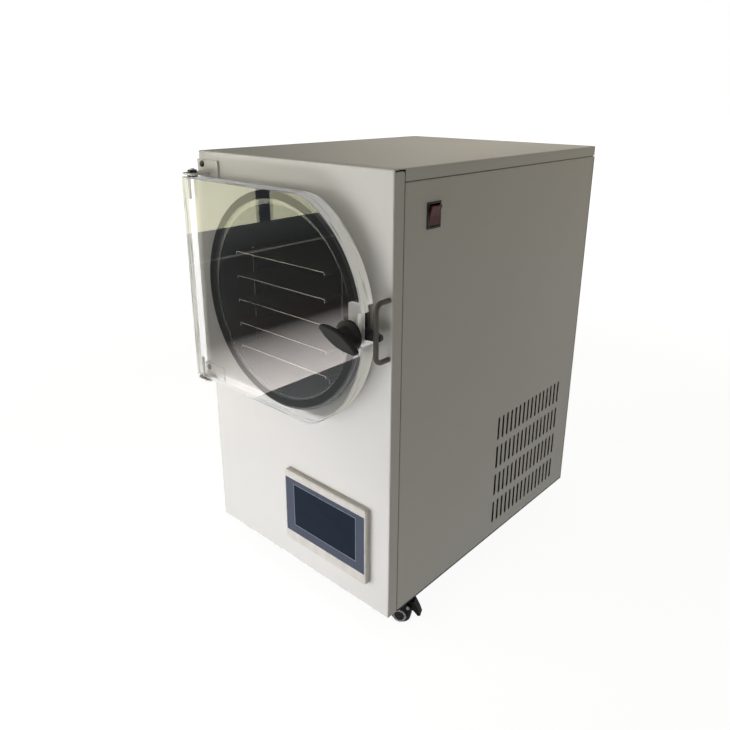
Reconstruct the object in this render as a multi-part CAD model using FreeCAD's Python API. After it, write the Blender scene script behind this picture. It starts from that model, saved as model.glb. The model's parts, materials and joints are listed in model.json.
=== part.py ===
"""Floor-standing laboratory freeze dryer on four casters.

A folded sheet-steel cabinet holds a horizontal round vacuum chamber with five shelves.
A thick clear door, hinged on the left, closes on a flat ring seal and is held by a cam
latch whose dog swings behind a bent strike bar.  A touch panel sits below the door, the
mains rocker switch and the air slots are in the right side, and the refrigeration plant
stands on the base pan under the chamber.

All sizes are in millimetres.  Everything is modelled from the middle of the cabinet's
front face at the height of the cabinet's bottom edge (+X right, +Y towards the back,
+Z up), and moved at the end so that the origin is under the middle of the whole
machine, on the floor.
"""
import FreeCAD, Part
import math
import os

V = FreeCAD.Vector
X_AXIS = V(1, 0, 0)
Y_AXIS = V(0, 1, 0)
Z_AXIS = V(0, 0, 1)

# ---- cabinet -------------------------------------------------------------------------
CABINET_W = 460.0
CABINET_D = 612.0
CABINET_H = 750.0
SHEET = 1.5                 # side, back and lid sheet
FRONT_SHEET = 2.0
FRAME_SHEET = 2.0
BEND_R = 2.5                # outside radius of the folds
SMALLEST_BEND = 1.2         # smaller inside radii are left square
FRONT_RETURN = 22.0         # depth of the front panel's folded side and lower edges
TOP_RETURN = 10.0           # depth of its folded top edge
RETURN_CORNER_R = 4.0       # rounded upper ends of its side edges
LID_FLANGE = 18.0
SIDE_RETURN = 12.0          # folded edges of the side panels, hidden behind the seams
SEAM = 2.0                  # visible gap between neighbouring panels
SEAT = 0.2                  # gap between sheets that are screwed together
BASE_T = 3.0
BASE_FLANGE = 30.0
FRAME_LEG = 20.0            # leg of the angle frame
DECK_Z = 300.0              # underside of the deck that carries the chamber
DECK_FLANGE = 18.0

# ---- chamber -------------------------------------------------------------------------
CHAMBER_X = 3.0
CHAMBER_Z = CABINET_H - 231.0
CHAMBER_R = 163.0           # inside radius
CHAMBER_WALL = 3.0
CHAMBER_LENGTH = 455.0      # from the panel face to the end plate
END_PLATE_T = 12.0
FLANGE_R = 184.0
FLANGE_PROUD = 8.0          # flange thickness in front of the panel
INSULATION = 22.0
SEAL_INNER_R = 168.5
SEAL_OUTER_R = 182.0
SEAL_T = 3.5
SEAL_X = CHAMBER_X - 2.0    # the loose ring lies a little off the chamber's axis
SEAL_Z = CHAMBER_Z + 2.5
SADDLE_W = 300.0
SADDLE_D = 30.0
SADDLE_INSET = 75.0         # from each end of the chamber tube
SADDLE_SHEET = 3.0

# ---- shelves -------------------------------------------------------------------------
SHELF_COUNT = 5
SHELF_W = 216.0
SHELF_FRONT_Y = -7.0
SHELF_LENGTH = 400.0
SHELF_T = 1.5
SHELF_LIP = 6.0
SHELF_PITCH = 42.7
LOWEST_SHELF_Z = CHAMBER_Z - 99.5    # top face of the lowest shelf
RACK_POST_W = 12.0
RACK_SHEET = 2.0
RACK_SETBACK = 36.0         # front posts behind the shelves' front edges
RACK_RUNNER_H = 8.0
RACK_FOOT = 6.0             # width of the runners' feet outside the posts
RACK_RISE = 6.0             # posts above the highest shelf

# ---- door ----------------------------------------------------------------------------
DOOR_T = 28.0
DOOR_LEFT_X = -229.0
DOOR_HALF_H = 188.0
DOOR_ARC_R = 205.0
DOOR_CORNER_R = 85.0        # blend between the flats and the arc
DOOR_EDGE_BEVEL = 1.6
HINGE_X = -214.5
HINGE_PIN_R = 4.0
HINGE_PIN_DEPTH = 37.0      # length of each pin inside the door
RUNNING_GAP = 0.08          # radial clearance of pins and shafts that turn
EAR_T = 3.0
EAR_RIGHT_X = -194.0
EAR_FRONT_OVERHANG = 14.0   # ear in front of the hinge axis
HINGE_WASHER_T = 4.0
HINGE_NUT_T = 5.0
HINGE_NUT_AF = 14.0
HINGE_WASHER_R = 9.0
HINGE_PIN_END = 2.0         # pin beyond its nut
PLATE_RIGHT_X = -171.0
PLATE_H = 29.0
UPPER_PLATE_DROP = 1.0      # plate below the door's top edge
LOWER_PLATE_DROP = 8.5      # plate below the door's bottom edge
EAR_CORNER_R = 9.0

# ---- latch ---------------------------------------------------------------------------
LATCH_X = 184.0
LATCH_Z = CHAMBER_Z - 7.0
STRIKE_X = 223.5
STRIKE_LOW_Z = CHAMBER_Z - 46.0
STRIKE_HIGH_Z = CHAMBER_Z + 45.5
STRIKE_REACH = 28.3         # rod centre in front of the panel
STRIKE_ROD_R = 4.0
STRIKE_BEND_R = 12.0
NOTCH_LOW_Z = CHAMBER_Z - 20.0
NOTCH_HIGH_Z = CHAMBER_Z + 30.0
NOTCH_X = 198.0             # front layer of the door is cut back to here
NOTCH_CORNER_R = 3.0
POCKET_X = 172.0            # rear pocket, where the dog turns
DOG_T = 7.0
DOG_REACH = 44.0
DOG_ROOT_R = 10.0
DOG_TIP_HALF = 5.0
DOG_GAP = 0.3
SHAFT_R = 5.0
BUSH_R = 8.0
BUSH_FLANGE_R = 12.0
BUSH_FLANGE_T = 1.5
KNOB_BASE_R = 24.0
KNOB_NECK_R = 15.0
KNOB_HUB_H = 20.2
KNOB_WING_L = 78.0
KNOB_WING_W = 23.0
KNOB_WING_T = 8.5
KNOB_TIP_R = 4.5
KNOB_BEVEL = 2.0
KNOB_SKIRT = 5.0            # straight foot of the hub
SHAFT_IN_KNOB = 15.0
KNOB_TILT = -19.0           # degrees from level, clockwise seen from the front

# ---- touch panel ---------------------------------------------------------------------
PANEL_X = 86.5
PANEL_Z = 124.5
PANEL_W = 204.0
PANEL_H = 147.0
PANEL_PROUD = 11.0
PANEL_GROOVE_Y = -5.5       # shadow groove round the frame's side
PANEL_GROOVE = 1.0
PANEL_CORNER_R = 6.0
GLASS_W = 200.0
GLASS_H = 116.0
GLASS_Z = 128.0
GLASS_T = 2.0
DISPLAY_W = 155.0
DISPLAY_H = 86.0
DISPLAY_X = 87.5
DISPLAY_Z = 132.0
DISPLAY_SUNK = 0.3          # behind the overlay's face
HOUSING_W = 190.0
HOUSING_H = 136.0
HOUSING_D = 38.0

# ---- mains switch --------------------------------------------------------------------
SWITCH_Y = 89.8
SWITCH_Z = CABINET_H - 72.2
SWITCH_W = 31.6
SWITCH_H = 39.6
SWITCH_RIM = 2.0            # rim in front of the side panel
SWITCH_LIP = 2.0            # rim outside its cut-out
SWITCH_BODY_D = 24.0
ROCKER_W = 24.0
ROCKER_HALF_H = 15.5
ROCKER_GAP = 0.4
ROCKER_TILT = 10.0          # degrees each side of level

# ---- air slots in the right side -----------------------------------------------------
SLOT_ROWS = 4
SLOTS_PER_ROW = 16
SLOT_W = 7.0
SLOT_H = 48.0
SLOT_PITCH_Y = 15.5
SLOT_PITCH_Z = 62.0
FIRST_SLOT_Y = 319.5
LOWEST_SLOT_Z = 52.7

# ---- refrigeration and control -------------------------------------------------------
COMPRESSOR_X = -95.0
COMPRESSOR_Y = 440.0
COMPRESSOR_R = 78.0
COMPRESSOR_H = 190.0
COMPRESSOR_FOOT_R = 12.0
COMPRESSOR_FOOT_H = 18.0
CONDENSER_T = 38.0
CONDENSER_GAP = 18.0        # from the right side panel
CONDENSER_FINS = 24
FIN_T = 3.5                 # each rib stands for a bundle of fins
FIN_DEPTH = 12.0
FIN_BORDER = 10.0
CONDENSER_MARGIN = 6.0
FAN_R = 96.0
FAN_TIP_GAP = 4.0
FAN_HUB_R = 24.0
FAN_WIDTH = 26.0
FAN_BLADES = 5
FAN_PITCH = 32.0            # degrees between a blade and the fan's plane
FAN_CHORD = 28.0
BLADE_T = 2.4
FAN_SIDE_GAP = 4.0          # between the rotor and the shroud's two faces
FAN_SHAFT_R = 4.0
SHROUD_BORDER = 12.0
MOTOR_ARM_W = 14.0
SHROUD_T = 2.0
MOTOR_R = 27.0
MOTOR_L = 50.0
CONTROL_X = -123.0
CONTROL_Y = 56.0
CONTROL_W = 150.0
CONTROL_D = 190.0
CONTROL_H = 230.0

# ---- back panel fittings -------------------------------------------------------------
PORT_BORE_R = 13.0
PORT_WALL = 2.0
PORT_FLANGE_R = 20.0
PORT_FLANGE_T = 6.0
PORT_OUT = 30.0             # flange face behind the back panel
OUTLET_ROWS = 7
OUTLET_SLOTS_W = 150.0
OUTLET_X = 90.0
LOWEST_OUTLET_Z = 90.0
OUTLET_PITCH = 16.8
INLET_W = 48.0
INLET_H = 28.0
INLET_X = -150.0
INLET_Z = 90.0
INLET_LIP = 2.0             # rim of the inlet outside its cut-out
INLET_DEPTH = 22.0
INLET_SOCKET_W = 26.0
INLET_SOCKET_H = 17.0
INLET_SOCKET_DEPTH = 16.0
INLET_RIM = 2.5

# ---- casters -------------------------------------------------------------------------
CASTER_INSET_X = 38.0       # swivel axis from the cabinet's side
CASTER_INSET_Y = 54.0       # swivel axis from the front and back
WHEEL_R = 19.0
WHEEL_W = 18.0
TRAIL = 18.0
WHEEL_HUB_R = 6.5
WHEEL_RECESS_R = 12.5
AXLE_R = 3.0
CASTER_PLATE = 50.0
CASTER_PLATE_T = 3.0
TREAD_ROOM = 8.2            # between the tread and the fork's crown
KINGPIN_R = 5.0
SWIVEL_GAP = 0.3            # above and below the fork's swivel head
HEAD_T = 5.5                # height of the swivel head: race and crown
CROWN_T = 2.5
CROWN_FRONT = 25.0          # ends of the crown, from the swivel axis
CROWN_BACK = -14.0
CHEEK_T = 2.5
CHEEK_GAP = 0.6
PEDAL_PIN_R = 2.0
PEDAL_PIN_ANGLE = 52.0      # degrees above level, seen from the axle
PEDAL_PIN_ROOM = 6.4        # between the pin's centre and the tread
PEDAL_LIFT = 20.0           # degrees from braked to free
# name, left/right, front/back, resting direction of the trailing wheel, brake
CASTERS = (
    ("front_right", 1, 0, 25.0, True),
    ("front_left", -1, 0, 110.0, True),
    ("rear_right", 1, 1, 165.0, False),
    ("rear_left", -1, 1, 140.0, False),
)

# ---- planes worked out from the sizes above ------------------------------------------
HALF_W = CABINET_W / 2
SIDE_TOP_Z = CABINET_H - LID_FLANGE - SEAM
RETURN_TOP_Z = CABINET_H - FRONT_SHEET - SEAM
INNER_X = HALF_W - SHEET - SEAT         # outside of the base flange and of the frame
INNER_FRONT_Y = FRONT_RETURN + SEAM + SHEET + SEAT
INNER_BACK_Y = CABINET_D - 2 * (SHEET + SEAT)
DOOR_BACK_Y = -(FLANGE_PROUD + SEAL_T)
DOOR_FRONT_Y = DOOR_BACK_Y - DOOR_T
HINGE_Y = (DOOR_BACK_Y + DOOR_FRONT_Y) / 2
DOOR_TOP_Z = CHAMBER_Z + DOOR_HALF_H
DOOR_BOTTOM_Z = CHAMBER_Z - DOOR_HALF_H
STRIKE_BACK_Y = -STRIKE_REACH + STRIKE_ROD_R
DOG_FRONT_Y = STRIKE_BACK_Y + DOG_GAP
POCKET_Y = DOG_FRONT_Y - DOG_GAP
KNOB_BACK_Y = DOOR_FRONT_Y - BUSH_FLANGE_T - DOG_GAP
SLOT_FIELD_Y = FIRST_SLOT_Y + (SLOTS_PER_ROW - 1) * SLOT_PITCH_Y / 2
SLOT_FIELD_Z = LOWEST_SLOT_Z + (SLOT_ROWS - 1) * SLOT_PITCH_Z / 2
SLOT_FIELD_L = (SLOTS_PER_ROW - 1) * SLOT_PITCH_Y + SLOT_W
SLOT_FIELD_H = (SLOT_ROWS - 1) * SLOT_PITCH_Z + SLOT_H
SWITCH_PIVOT_X = HALF_W - 2.0
CASTER_H = CASTER_PLATE_T + SWIVEL_GAP + HEAD_T + TREAD_ROOM + 2 * WHEEL_R
WHEEL_Z = WHEEL_R - CASTER_H
PEDAL_REACH = WHEEL_R + PEDAL_PIN_ROOM
PEDAL_PIVOT = (TRAIL + PEDAL_REACH * math.cos(math.radians(PEDAL_PIN_ANGLE)),
               WHEEL_Z + PEDAL_REACH * math.sin(math.radians(PEDAL_PIN_ANGLE)))   # forward, up


# ---- helpers -------------------------------------------------------------------------
def box(low, high):
    """Block between two opposite corners."""
    size = [b - a for a, b in zip(low, high)]
    return Part.makeBox(*size, V(*low))


def centred(x, z, width, height, y0, y1):
    """Opposite corners of an upright block given by its middle, width and height."""
    return (x - width / 2, y0, z - height / 2), (x + width / 2, y1, z + height / 2)


def cylinder(radius, start, axis, length):
    return Part.makeCylinder(radius, length, V(*start), axis)


def rounded_box(low, high, radius, open_sides):
    """Block whose edges are rounded where two sides that are not open meet."""
    block = box(low, high)
    if radius < SMALLEST_BEND:
        return block
    limits = {"-x": (0, low[0]), "+x": (0, high[0]), "-y": (1, low[1]), "+y": (1, high[1]),
              "-z": (2, low[2]), "+z": (2, high[2])}
    kept = {side: place for side, place in limits.items() if side not in open_sides}
    edges = []
    for edge in block.Edges:
        middle = edge.CenterOfMass
        touching = [s for s, (axis, value) in kept.items() if abs(middle[axis] - value) < 1e-6]
        if len(touching) == 2:
            edges.append(edge)
    return block.makeFillet(radius, edges)


def pan(low, high, sheet, open_sides, bend=BEND_R):
    """Folded sheet: a block hollowed to the sheet's thickness and open on the named sides."""
    inner_low = [a - 5 if "-" + n in open_sides else a + sheet for a, n in zip(low, "xyz")]
    inner_high = [b + 5 if "+" + n in open_sides else b - sheet for b, n in zip(high, "xyz")]
    outer = rounded_box(low, high, bend, open_sides)
    return outer.cut(rounded_box(inner_low, inner_high, bend - sheet, open_sides))


def slot(length, width, depth):
    """Cutter along X for an upright slot with clipped corners, centred on the origin."""
    half_w, half_l = width / 2, length / 2
    clip = width * 0.3
    quarter = [(half_w, half_l - clip), (half_w - clip, half_l)]
    upper = quarter + [(-y, z) for y, z in quarter[::-1]]
    corners = upper + [(-y, -z) for y, z in upper]
    outline = Part.makePolygon([V(0, y, z) for y, z in corners + corners[:1]])
    return Part.Face(outline).extrude(V(depth, 0, 0))


def revolve_y(profile, x, z):
    """Solid of revolution about a line along Y, from (radius, y) points."""
    points = [V(x + r, y, z) for r, y in profile]
    face = Part.Face(Part.makePolygon(points + [points[0]]))
    return face.revolve(V(x, 0, z), Y_AXIS, 360)


def revolve_z(profile, x, y):
    """Solid of revolution about an upright line, from (radius, z) points."""
    points = [V(x + r, y, z) for r, z in profile]
    face = Part.Face(Part.makePolygon(points + [points[0]]))
    return face.revolve(V(x, y, 0), Z_AXIS, 360)


def hexagon(across_flats, start, axis, height):
    """Hexagonal prism, such as a nut."""
    r = across_flats / math.sqrt(3)
    ring = [V(r * math.cos(a), r * math.sin(a), 0) for a in (math.radians(60 * i) for i in range(7))]
    prism = Part.Face(Part.makePolygon(ring)).extrude(V(0, 0, height))
    prism.Placement = FreeCAD.Placement(V(*start), FreeCAD.Rotation(Z_AXIS, axis))
    return prism


def fuse(shapes):
    return shapes[0].multiFuse(shapes[1:]).removeSplitter()


# ---- cabinet -------------------------------------------------------------------------
def base_pan():
    """Dark floor of the cabinet, with flanges that stand inside the side panels."""
    floor = box((-HALF_W, FRONT_RETURN + SEAM, 0), (HALF_W, CABINET_D, BASE_T))
    rim = pan((-INNER_X, INNER_FRONT_Y, 0), (INNER_X, INNER_BACK_Y, BASE_FLANGE), FRAME_SHEET, ("+z",))
    return fuse([floor, rim])


def front_panel():
    """Tray-shaped front with the chamber hole and the touch panel's cut-out."""
    panel = pan((-HALF_W, 0, 0), (HALF_W, FRONT_RETURN, CABINET_H), FRONT_SHEET, ("+y",))
    chamber_hole = cylinder(CHAMBER_R + CHAMBER_WALL + DOG_GAP, (CHAMBER_X, -1, CHAMBER_Z), Y_AXIS, 10)
    half_w = HOUSING_W / 2 + SEAT
    half_h = HOUSING_H / 2 + SEAT
    cut_out = box((PANEL_X - half_w, -1, PANEL_Z - half_h), (PANEL_X + half_w, 5, PANEL_Z + half_h))
    lid_room = box((-HALF_W - 1, TOP_RETURN, RETURN_TOP_Z), (HALF_W + 1, FRONT_RETURN + 1, CABINET_H + 1))
    relief = box((-HALF_W - 1, BEND_R, RETURN_TOP_Z - RETURN_CORNER_R),
                 (HALF_W + 1, FRONT_RETURN, CABINET_H - FRONT_SHEET))
    kept = rounded_box((-HALF_W - 1, BEND_R, RETURN_TOP_Z - 3 * RETURN_CORNER_R),
                       (HALF_W + 1, FRONT_RETURN, RETURN_TOP_Z), RETURN_CORNER_R, ("-x", "+x", "-z"))
    return panel.cut(Part.Compound([chamber_hole, cut_out, lid_room, relief.cut(kept)]))


def side_panel(side):
    """Side sheet with folded front and back edges; side is +1 on the right."""
    low = (HALF_W - SIDE_RETURN, FRONT_RETURN + SEAM, BASE_T + SEAT)
    high = (HALF_W, CABINET_D - SHEET - SEAT, SIDE_TOP_Z)
    panel = pan(low, high, SHEET, ("-x", "-z", "+z"))
    if side > 0:
        one_slot = slot(SLOT_H, SLOT_W, 10)
        slots = []
        for row in range(SLOT_ROWS):
            for column in range(SLOTS_PER_ROW):
                y = FIRST_SLOT_Y + column * SLOT_PITCH_Y
                z = LOWEST_SLOT_Z + row * SLOT_PITCH_Z
                slots.append(one_slot.translated(V(HALF_W - 5, y, z)))
        lip = 2 * (SWITCH_LIP - SEAT)
        slots.append(switch_block(SWITCH_W - lip, SWITCH_H - lip, HALF_W - 5, HALF_W + 5))
        return panel.cut(Part.Compound(slots))
    return panel.mirror(V(0, 0, 0), X_AXIS)


def back_panel():
    """Flat back sheet with the warm-air outlet, vacuum port hole and power inlet cut-out."""
    y0 = CABINET_D - SHEET
    panel = box((-HALF_W, y0, BASE_T + SEAT), (HALF_W, CABINET_D, SIDE_TOP_Z))
    cuts = [cylinder(PORT_BORE_R + PORT_WALL + SEAT, (CHAMBER_X, y0 - 1, CHAMBER_Z), Y_AXIS, 5)]
    bar = slot(OUTLET_SLOTS_W, SLOT_W, 10)
    bar.rotate(V(0, 0, 0), Z_AXIS, 90)
    bar.rotate(V(0, 0, 0), Y_AXIS, 90)
    for row in range(OUTLET_ROWS):
        cuts.append(bar.translated(V(OUTLET_X, y0 - 1, LOWEST_OUTLET_Z + row * OUTLET_PITCH)))
    lip = 2 * INLET_LIP
    cuts.append(box(*centred(INLET_X, INLET_Z, INLET_W - lip, INLET_H - lip, y0 - 1, y0 + 5)))
    return panel.cut(Part.Compound(cuts))


def top_lid():
    """Lid with flanges all round; its front corners clear the front panel's side edges."""
    low = (-HALF_W, TOP_RETURN + SEAM, CABINET_H - LID_FLANGE)
    lid = pan(low, (HALF_W, CABINET_D, CABINET_H), SHEET, ("-z",))
    room = HALF_W - FRONT_SHEET - SEAM
    corner = box((room, 0, low[2] - 1), (HALF_W + 1, FRONT_RETURN + SEAM, CABINET_H - SHEET))
    return lid.cut(Part.Compound([corner, corner.mirror(V(0, 0, 0), X_AXIS)]))


def angle_bar(low, high, open_sides):
    return pan(low, high, FRAME_SHEET, open_sides, bend=0)


def cabinet_frame():
    """Welded angle frame: four posts on the base flange, two side rails and two cross rails."""
    x0, x1 = INNER_X - FRAME_LEG, INNER_X
    y0, y1 = INNER_FRONT_Y, INNER_BACK_Y
    z0 = BASE_FLANGE + SEAT
    z1 = CABINET_H - SHEET - SEAT
    right = [
        angle_bar((x0, y0, z0), (x1, y0 + FRAME_LEG, z1), ("-x", "+y", "+z", "-z")),
        angle_bar((x0, y1 - FRAME_LEG, z0), (x1, y1, z1), ("-x", "-y", "+z", "-z")),
        angle_bar((x0, y0, z1 - FRAME_LEG), (x1, y1, z1), ("-x", "-z", "+y", "-y")),
    ]
    left = [bar.mirror(V(0, 0, 0), X_AXIS) for bar in right]
    cross = [
        angle_bar((-x1, y0, z1 - FRAME_LEG), (x1, y0 + FRAME_LEG, z1), ("+y", "-z", "+x", "-x")),
        angle_bar((-x1, y1 - FRAME_LEG, z1 - FRAME_LEG), (x1, y1, z1), ("-y", "-z", "+x", "-x")),
    ]
    return fuse(right + left + cross)


def equipment_deck():
    """Deck between the posts that carries the chamber saddles."""
    inset = FRAME_SHEET + SEAT
    low = (-INNER_X + inset, INNER_FRONT_Y + inset, DECK_Z)
    high = (INNER_X - inset, INNER_BACK_Y - inset, DECK_Z + DECK_FLANGE)
    return pan(low, high, FRAME_SHEET, ("-z",), bend=0)


# ---- chamber -------------------------------------------------------------------------
def chamber_shell():
    """Stainless tube with its sealing flange in front of the panel."""
    outer = CHAMBER_R + CHAMBER_WALL
    profile = [(CHAMBER_R, -FLANGE_PROUD), (FLANGE_R, -FLANGE_PROUD), (FLANGE_R, 0), (outer, 0),
               (outer, CHAMBER_LENGTH), (CHAMBER_R, CHAMBER_LENGTH)]
    return revolve_y(profile, CHAMBER_X, CHAMBER_Z)


def chamber_end():
    """Thick flat end plate welded to the tube, with the port hole in its middle."""
    bore = PORT_BORE_R + PORT_WALL
    outer = CHAMBER_R + CHAMBER_WALL
    front, back = CHAMBER_LENGTH, CHAMBER_LENGTH + END_PLATE_T
    return revolve_y([(bore, front), (outer, front), (outer, back), (bore, back)], CHAMBER_X, CHAMBER_Z)


def chamber_insulation():
    """Foam jacket round the tube, closed by a thick disc behind the end plate."""
    inner = CHAMBER_R + CHAMBER_WALL + SEAT
    outer = inner + INSULATION
    port = PORT_BORE_R + PORT_WALL + SEAT
    start = FRONT_SHEET + SEAT
    disc = CHAMBER_LENGTH + END_PLATE_T + SEAT
    profile = [(inner, start), (outer, start), (outer, disc + INSULATION), (port, disc + INSULATION),
               (port, disc), (inner, disc)]
    return revolve_y(profile, CHAMBER_X, CHAMBER_Z)


def chamber_saddles():
    """Two folded saddles on the deck under the insulated chamber."""
    jacket_r = CHAMBER_R + CHAMBER_WALL + INSULATION + 2 * SEAT
    half = SADDLE_W / 2
    foot = DECK_Z + DECK_FLANGE
    top = CHAMBER_Z - math.sqrt(jacket_r ** 2 - half ** 2)
    saddles = []
    for y in (SADDLE_INSET, CHAMBER_LENGTH - SADDLE_INSET - SADDLE_D):
        saddle = pan((CHAMBER_X - half, y, foot), (CHAMBER_X + half, y + SADDLE_D, top), SADDLE_SHEET,
                     ("+y", "+z"), bend=0)
        saddles.append(saddle.cut(cylinder(jacket_r, (CHAMBER_X, y - 1, CHAMBER_Z), Y_AXIS, SADDLE_D + 2)))
    return Part.Compound(saddles)


def door_gasket():
    """Flat silicone ring between the flange and the door."""
    y0, y1 = -FLANGE_PROUD - SEAL_T, -FLANGE_PROUD
    profile = [(SEAL_INNER_R, y0), (SEAL_OUTER_R, y0), (SEAL_OUTER_R, y1), (SEAL_INNER_R, y1)]
    return revolve_y(profile, SEAL_X, SEAL_Z)


def shelf(number):
    """One shelf plate with down-turned sides; number 1 is the lowest."""
    top = LOWEST_SHELF_Z + (number - 1) * SHELF_PITCH
    low = (CHAMBER_X - SHELF_W / 2, SHELF_FRONT_Y, top - SHELF_LIP)
    high = (CHAMBER_X + SHELF_W / 2, SHELF_FRONT_Y + SHELF_LENGTH, top)
    return pan(low, high, SHELF_T, ("-z", "-y", "+y"))


def side_box(side, x, y, z):
    """Block at the same distance left (-1) or right (+1) of the chamber's middle; x, y, z are spans."""
    low_x, high_x = sorted((CHAMBER_X + side * x[0], CHAMBER_X + side * x[1]))
    return box((low_x, y[0], z[0]), (high_x, y[1], z[1]))


def rack_foot():
    """Half width over the runners' feet, and the height at which they touch the chamber wall."""
    half = SHELF_W / 2 + SEAT + RACK_SHEET + RACK_FOOT
    return half, CHAMBER_Z - math.sqrt((CHAMBER_R - DOG_GAP) ** 2 - half ** 2)


def shelf_rack():
    """Carrier of the shelves: two runners on the chamber wall, four posts, two cross bars."""
    x0 = SHELF_W / 2 + SEAT
    x1 = x0 + RACK_SHEET
    foot_x, foot_z = rack_foot()
    top = LOWEST_SHELF_Z + (SHELF_COUNT - 1) * SHELF_PITCH + RACK_RISE
    front = SHELF_FRONT_Y + RACK_SETBACK
    rear = SHELF_FRONT_Y + SHELF_LENGTH - RACK_SETBACK
    run = (SHELF_FRONT_Y + RACK_FOOT, rear + RACK_POST_W)
    parts = []
    for y in ((front, front + RACK_POST_W), (rear - RACK_POST_W, rear)):
        for side in (1, -1):
            parts.append(side_box(side, (x0, x1), y, (foot_z, top)))
        bar_low = (CHAMBER_X - x1, y[0], foot_z)
        parts.append(box(bar_low, (CHAMBER_X + x1, y[1], foot_z + RACK_SHEET)))
    for side in (1, -1):
        parts.append(side_box(side, (x0, foot_x), run, (foot_z, foot_z + RACK_SHEET)))
        parts.append(side_box(side, (x0, x1), run, (foot_z, foot_z + RACK_RUNNER_H)))
    return fuse(parts)


# ---- door ----------------------------------------------------------------------------
def door_outline(y):
    """Closed outline of the door at a depth y: straight on the left, round on the right."""
    blend_z = DOOR_HALF_H - DOOR_CORNER_R
    blend_x = math.sqrt((DOOR_ARC_R - DOOR_CORNER_R) ** 2 - blend_z ** 2)
    join = math.atan2(blend_z, blend_x)
    middle = (join + math.pi / 2) / 2

    def point(x, z):
        return V(CHAMBER_X + x, y, CHAMBER_Z + z)

    def corner(way):
        """Start on the flat, middle, and end on the arc of the upper (1) or lower (-1) blend."""
        return (point(blend_x, way * DOOR_HALF_H),
                point(blend_x + DOOR_CORNER_R * math.cos(middle),
                      way * (blend_z + DOOR_CORNER_R * math.sin(middle))),
                point(DOOR_ARC_R * math.cos(join), way * DOOR_ARC_R * math.sin(join)))

    upper, lower = corner(1), corner(-1)
    top_left, bottom_left = V(DOOR_LEFT_X, y, DOOR_TOP_Z), V(DOOR_LEFT_X, y, DOOR_BOTTOM_Z)
    return Part.Wire([
        Part.LineSegment(top_left, upper[0]).toShape(),
        Part.Arc(*upper).toShape(),
        Part.Arc(upper[2], point(DOOR_ARC_R, 0), lower[2]).toShape(),
        Part.Arc(*lower[::-1]).toShape(),
        Part.LineSegment(lower[0], bottom_left).toShape(),
        Part.LineSegment(bottom_left, top_left).toShape(),
    ])


def door_slab():
    """Thick clear plate with polished bevels, hinge bores and the stepped latch notch."""
    slab = Part.Face(door_outline(DOOR_BACK_Y)).extrude(V(0, -DOOR_T, 0))
    rim = [e for e in slab.Edges if abs(e.CenterOfMass.y - DOOR_FRONT_Y) < 1e-6
           or abs(e.CenterOfMass.y - DOOR_BACK_Y) < 1e-6]
    slab = slab.makeChamfer(DOOR_EDGE_BEVEL, rim)
    far = CHAMBER_X + DOOR_ARC_R + 10
    behind = DOOR_BACK_Y + 5
    swing_top = LATCH_Z + DOG_REACH + NOTCH_CORNER_R
    notch = rounded_box((NOTCH_X, DOOR_FRONT_Y - 5, NOTCH_LOW_Z), (far, behind, NOTCH_HIGH_Z),
                        NOTCH_CORNER_R, ("+x", "-y", "+y"))
    pocket = rounded_box((POCKET_X, POCKET_Y, NOTCH_LOW_Z), (far, behind, swing_top),
                         NOTCH_CORNER_R, ("+x", "-y", "+y"))
    bore_r = HINGE_PIN_R + RUNNING_GAP
    bore_l = HINGE_PIN_DEPTH + 1
    low_bore = cylinder(bore_r, (HINGE_X, HINGE_Y, DOOR_BOTTOM_Z - 1), Z_AXIS, bore_l + 1)
    high_bore = cylinder(bore_r, (HINGE_X, HINGE_Y, DOOR_TOP_Z - bore_l), Z_AXIS, bore_l + 1)
    shaft_hole = cylinder(BUSH_R, (LATCH_X, DOOR_FRONT_Y - 1, LATCH_Z), Y_AXIS, DOOR_T + 2)
    return slab.cut(Part.Compound([notch, pocket])).cut(Part.Compound([low_bore, high_bore, shaft_hole]))


def hinge_levels(upper):
    """Direction away from the door, and the door's edge, for the upper or lower hinge."""
    return (1, DOOR_TOP_Z) if upper else (-1, DOOR_BOTTOM_Z)


def hinge_bracket(upper):
    """Plate screwed to the front panel with a welded ear over or under the door's edge."""
    way, edge = hinge_levels(upper)
    low = edge - (UPPER_PLATE_DROP if upper else LOWER_PLATE_DROP)
    plate = box((-HALF_W, -EAR_T, low), (PLATE_RIGHT_X, 0, low + PLATE_H))
    near = edge + way * HINGE_WASHER_T
    z0, z1 = sorted((near, near + way * EAR_T))
    left, front = -HALF_W, HINGE_Y - EAR_FRONT_OVERHANG
    ear = box((left, front, z0), (EAR_RIGHT_X, -EAR_T / 2, z1))
    corners = [e for e in ear.Edges
               if abs(e.CenterOfMass.y - front) < 1e-6 and e.BoundBox.ZLength > EAR_T / 2]
    ear = ear.makeFillet(EAR_CORNER_R, corners)
    pin_hole = cylinder(HINGE_PIN_R, (HINGE_X, HINGE_Y, z0 - 1), Z_AXIS, EAR_T + 2)
    return fuse([plate, ear]).cut(pin_hole)


def hinge_pin(upper):
    """Threaded pin through the ear, turning fit inside the door."""
    way, edge = hinge_levels(upper)
    inner = edge - way * HINGE_PIN_DEPTH
    outer = edge + way * (HINGE_WASHER_T + EAR_T + HINGE_NUT_T + HINGE_PIN_END)
    low, high = sorted((inner, outer))
    return cylinder(HINGE_PIN_R, (HINGE_X, HINGE_Y, low), Z_AXIS, high - low)


def round_both_pins(blank, start, end):
    """Bored pieces on both pins, between two distances from the door's edges."""
    pieces = []
    for upper in (True, False):
        way, edge = hinge_levels(upper)
        low, high = sorted((edge + way * start, edge + way * end))
        hole = cylinder(HINGE_PIN_R, (HINGE_X, HINGE_Y, low - 1), Z_AXIS, high - low + 2)
        pieces.append(blank((HINGE_X, HINGE_Y, low), high - low).cut(hole))
    return Part.Compound(pieces)


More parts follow.
